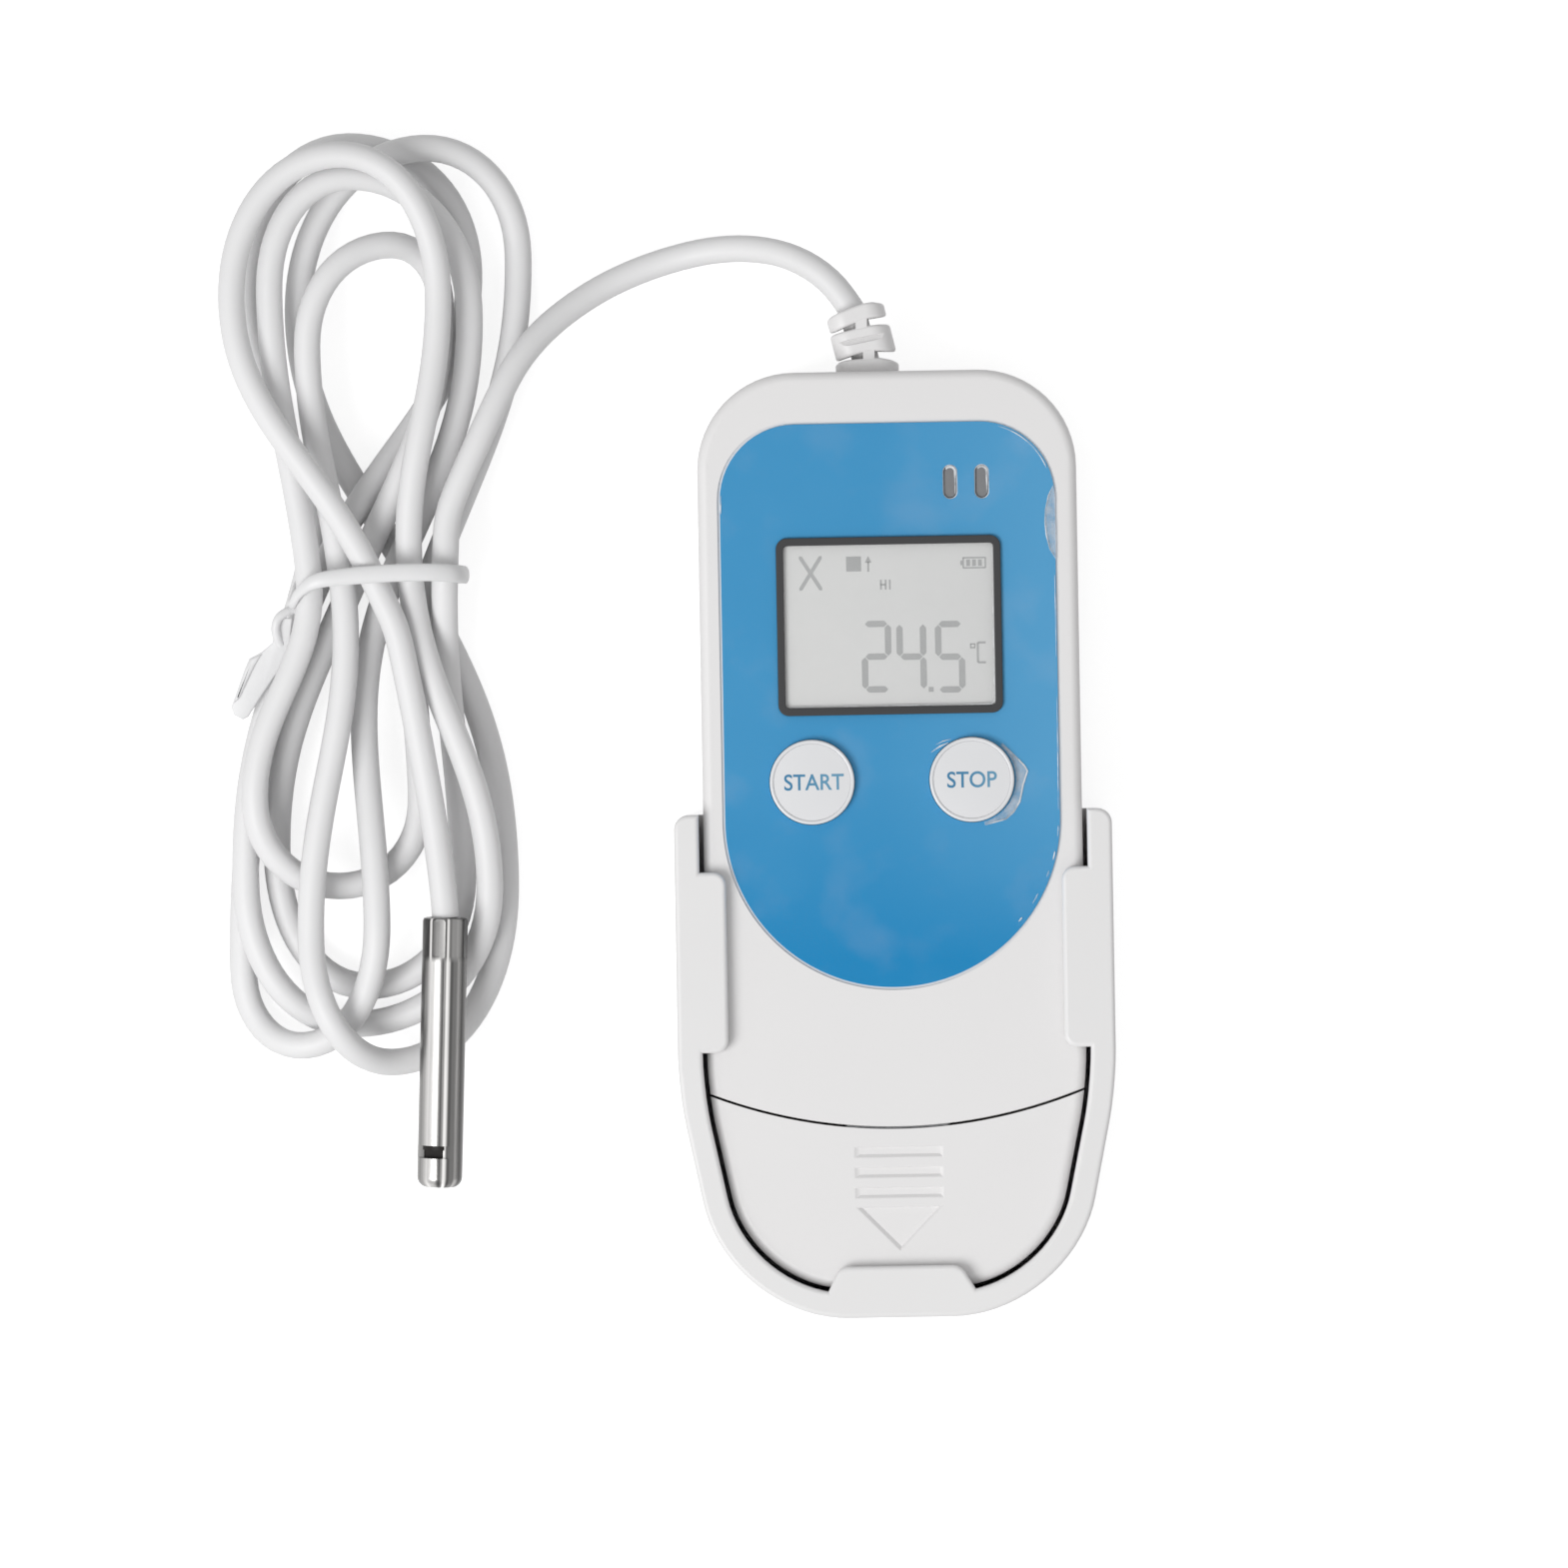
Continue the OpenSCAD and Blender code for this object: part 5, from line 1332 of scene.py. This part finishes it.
tie = {
    "half": (0.99, 0.45),
    # The fourth number is the width, as a share of the full width.
    "loop": [
        (-66.2, 27.7, 9.8, 0.5), (-65.4, 29, 11.8, 0.62), (-63.6, 30.2, 13.2, 0.84),
        (-60.2, 30.68, 13.55, 0.96), (-54.9, 31, 13.55, 1), (-50.4, 31, 13.2, 1), (-47.7, 30.8, 11.6, 1),
        (-46.95, 30.7, 7.5, 1), (-47.6, 30.8, 2.9, 1), (-50.5, 31, 0.75, 1), (-57, 31, 0.65, 1),
        (-62.4, 30.9, 0.75, 1), (-65.3, 30.2, 2.5, 0.8), (-66.1, 28.5, 6, 0.55),
    ],
    "knot": [
        (-65.9, 27.2, 9.3, 1), (-66.8, 26.95, 9.9, 1), (-67.75, 26.25, 10.1, 1.05), (-68.1, 25.2, 9.9, 1.1),
        (-67.95, 24.1, 9.5, 1), (-67.6, 23.2, 9.1, 0.8),
    ],
    "knotRadius": 0.5,
    # The tail lies in a plane that falls away from the knot: its outline, its folded edge, and its fall.
    "tail": [
        (-66.2, 26.2), (-67.2, 26.3), (-68.2, 25), (-68.5, 23.5), (-69.6, 22.6), (-71.1, 21.8), (-71.7, 20.5),
        (-72.5, 18.3), (-73.2, 16.5), (-72.9, 15.6), (-71.9, 15.05), (-71.3, 15.4), (-69.7, 17.8),
        (-68.45, 19.6), (-67.5, 20.9), (-66.6, 23.2),
    ],
    "tailZ": (9.1, 9.65), "tailEdge": 0.2,
    "fold": [
        (-69.7, 22.3), (-71, 21.7), (-71.6, 20.4), (-72.4, 18.2), (-72.9, 16.9), (-72.3, 17.4), (-71.3, 19.4),
        (-70.5, 21),
    ],
    "foldZ": (9.55, 10.05), "foldEdge": 0.25,
    "fall": (25.5, 0.16),
}


# A section carried along a path. The path's fourth number stretches it sideways.
def swept(section, path, across, closed=False):
    points = [Vector(p[:3]) for p in path]
    count = len(points)
    frames = []
    for i, point in enumerate(points):
        before = points[i - 1] if closed or i else point
        after = points[(i + 1) % count] if closed or i < count - 1 else point
        along = (after - before).normalized()
        side = (across - along * across.dot(along)).normalized()
        turn = Matrix((side, along.cross(side), along)).transposed().to_4x4()
        frames.append(Matrix.Translation(point) @ turn @ Matrix.Diagonal((path[i][3], 1, 1, 1)))
    if closed:
        frames.append(frames[0])
    bm = bmesh.new()
    ring = [bm.verts.new(frames[0] @ Vector((x, y, 0))) for x, y in section]
    edges = [bm.edges.new((a, b)) for a, b in zip(ring, ring[1:] + ring[:1])]
    if not closed:
        bm.faces.new(ring)
    for before, after in zip(frames, frames[1:]):
        made = bmesh.ops.extrude_edge_only(bm, edges=edges)["geom"]
        verts = set(verticesOf(made))
        edges = [e for e in made if isinstance(e, bmesh.types.BMEdge) and all(v in verts for v in e.verts)]
        bmesh.ops.transform(bm, matrix=after @ before.inverted(), verts=list(verts))
    if not closed:
        bmesh.ops.contextual_create(bm, geom=edges)
    bmesh.ops.remove_doubles(bm, verts=bm.verts, dist=0.001)
    bmesh.ops.recalc_face_normals(bm, faces=bm.faces)
    return bm


def ellipse(a, b, sides):
    turns = [2 * pi * i / sides for i in range(sides)]
    return [(a * cos(t), b * sin(t)) for t in turns]


def makeTie():
    loop = smoothRoute(tie["loop"], 6, closed=True)
    band = swept(ellipse(*tie["half"], 20), loop, Vector((0, 1, 0)), closed=True)
    radius = tie["knotRadius"]
    knot = swept(ellipse(radius, radius, 14), smoothRoute(tie["knot"], 6), Vector((0, 0, 1)))
    low, high = tie["tailZ"]
    tail = prism(tie["tail"][::-1], low, high)
    for height in (high, low):
        roundRim(tail, height, tie["tailEdge"], 3)
    fold = roundRim(prism(tie["fold"], *tie["foldZ"]), tie["foldZ"][1], tie["foldEdge"], 3)
    y0, slope = tie["fall"]
    for part in (tail, fold):
        for v in part.verts:
            v.co.z += (v.co.y - y0) * slope
    whole = joined([band, knot, tail, fold])
    return finishPiece(
        whole, "cableTie", "logger", "tieWhite", ["cable_tie"], smoothAngle=50, weighted=False,
    )


tiePiece = makeTie()


def makeDoor():
    y, low = door["y"], door["low"]
    disc = roundRim(bar(0, y, door["radius"], low, low + door["thick"], 96), low, door["edge"], 3)
    disc = fused(disc, bar(0, y, door["neck"], door["neckLow"], door["neckTop"], 96))
    half, foot, tip = door["arrow"]
    disc = cut(
        disc,
        roundBlock(0, y, *door["slot"], low - 1, low + door["slotDeep"], door["slotCorner"], 8),
        prism([(-half, y + foot), (half, y + foot), (0, y + tip)], low - 1, low + door["arrowDeep"]),
    )
    centre = Matrix.Translation((0, y, 0))
    lugs = [moved(roundBlock(*door["lug"]), centre @ turnAbout("Z", a)) for a in door["lugTurns"]]
    disc = fused(disc, joined(lugs))
    finishPiece(disc, "batteryDoor", "door", "housingWhite", ["battery_door"])


usb = {
    "w": 12, "t": 4.5, "z": 9.3, "from": -43.3, "to": -22, "wall": 0.3, "edge": 0.5,
    "window": (2.2, 2.6), "windowAt": (2.7, -38.4),
}


def plugSleeve(shrink, extra):
    w, t, z = usb["w"] / 2 - shrink, usb["t"] / 2 - shrink, usb["z"]
    y, long = (usb["from"] + usb["to"]) / 2, usb["to"] - usb["from"]
    bm = block(0, y, 2 * w, long + extra, z - t, z + t)
    edges = [e for e in bm.edges if abs(e.verts[0].co.y - e.verts[1].co.y) > 1]
    return bevelEdges(bm, edges, usb["edge"] - shrink / 2, 4)


def makePlug():
    low, high = usb["z"] - usb["t"], usb["z"] + usb["t"]
    windows = [block(x, y, *usb["window"], low, high) for x, y in mirrored(*usb["windowAt"])]
    shell = cut(plugSleeve(0, 0), plugSleeve(usb["wall"], 2), joined(windows))
    finishPiece(shell, "usbShell", "logger", "platedSteel", ["usb_shell"])


makeDoor()
makePlug()

# CAD nodes that stay, with their finishes.
nodeFinishes = {
    "housing_gasket": "sealRubber", "housing_screws": "screwSteel", "lcd_glass": "displayGrey",
    "lcd_reflector": "silverFilm", "lcd_carrier": "carrierWhite", "zebra_strips": "zebraRubber",
    "circuit_board": "boardGreen", "control_chip": "chipBlack", "memory_chip": "chipBlack",
    "clock_crystal": "platedSteel", "chip_capacitors": "capacitorTan", "indicator_leds": "ledYellow",
    "switch_bodies": "blackPlastic", "coin_cell": "cellSteel", "battery_holder": "blackPlastic",
    "battery_contact": "contactGold", "battery_spring": "platedSteel", "usb_tongue": "carrierWhite",
    "usb_contacts": "contactGold", "wire_socket": "carrierWhite", "signal_wires": "wireRed",
    "start_plunger": "blackPlastic", "stop_plunger": "blackPlastic", "cap_liner": "carrierWhite",
    "door_seal": "sealRubber", "probe_bead": "beadBlack", "probe_filling": "resinBlack",
}
for nodeName, finish in nodeFinishes.items():
    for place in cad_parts[nodeName].material_slots:
        place.material = materials[finish]
print("CAD nodes finished:", len(nodeFinishes))

studio = {
    "floorReach": 3, "floorGap": 0.0002, "floorColour": (0.5, 0.5, 0.5), "floorGlow": 0.78,
    "skyStrength": 0.52,
    "keyPlace": (-0.55, -0.35, 0.85), "keySize": 0.6, "keyPower": 7, "aim": (-0.01, 0, 0),
}


# 1 for rays that see the background: from the camera, or by way of metal or glass.
def backgroundSeen(tree):
    path = addNode(tree, "ShaderNodeLightPath").outputs
    seen = calculated(tree, "MAXIMUM", path["Is Camera Ray"], path["Is Glossy Ray"])
    return calculated(tree, "MAXIMUM", seen, path["Is Transmission Ray"])


def makeFloor():
    bm = bmesh.new()
    bmesh.ops.create_grid(bm, x_segments=4, y_segments=4, size=studio["floorReach"])
    mesh = asMesh(moved(bm, Matrix.Translation((0, 0, -studio["floorGap"]))), "floor")
    floor = addObject("floor", mesh)
    tree, shader = newMaterial("paleFloor", {
        "Roughness": 0.9, "Specular IOR Level": 0.1, "Emission Color": (1, 1, 1, 1),
    })
    addGrain(tree, shader, studio["floorColour"], 0.9, tone=0.005, patch=3, grain=400, depth=0.01)
    glow = calculated(tree, "MULTIPLY", backgroundSeen(tree), studio["floorGlow"])
    tree.links.new(glow, shader.inputs["Emission Strength"])
    mesh.materials.append(materials["paleFloor"])


def makeSky():
    scene.world = bpy.data.worlds.new("studio")
    scene.world.use_nodes = True
    tree = scene.world.node_tree
    background = tree.nodes["Background"]
    background.inputs["Color"].default_value = (1, 1, 1, 1)
    strength = mapped(tree, backgroundSeen(tree), 0, 1, studio["skyStrength"], 1)
    tree.links.new(strength, background.inputs["Strength"])


def makeKeyLight():
    light = bpy.data.lights.new("key", "AREA")
    light.shape = "DISK"
    light.size = studio["keySize"]
    light.energy = studio["keyPower"]
    lamp = addObject("key", light)
    lamp.location = studio["keyPlace"]
    aim = Vector(studio["aim"]) - Vector(studio["keyPlace"])
    lamp.rotation_euler = aim.to_track_quat("-Z", "Y").to_euler()


makeFloor()
makeSky()
makeKeyLight()
print("studio made")
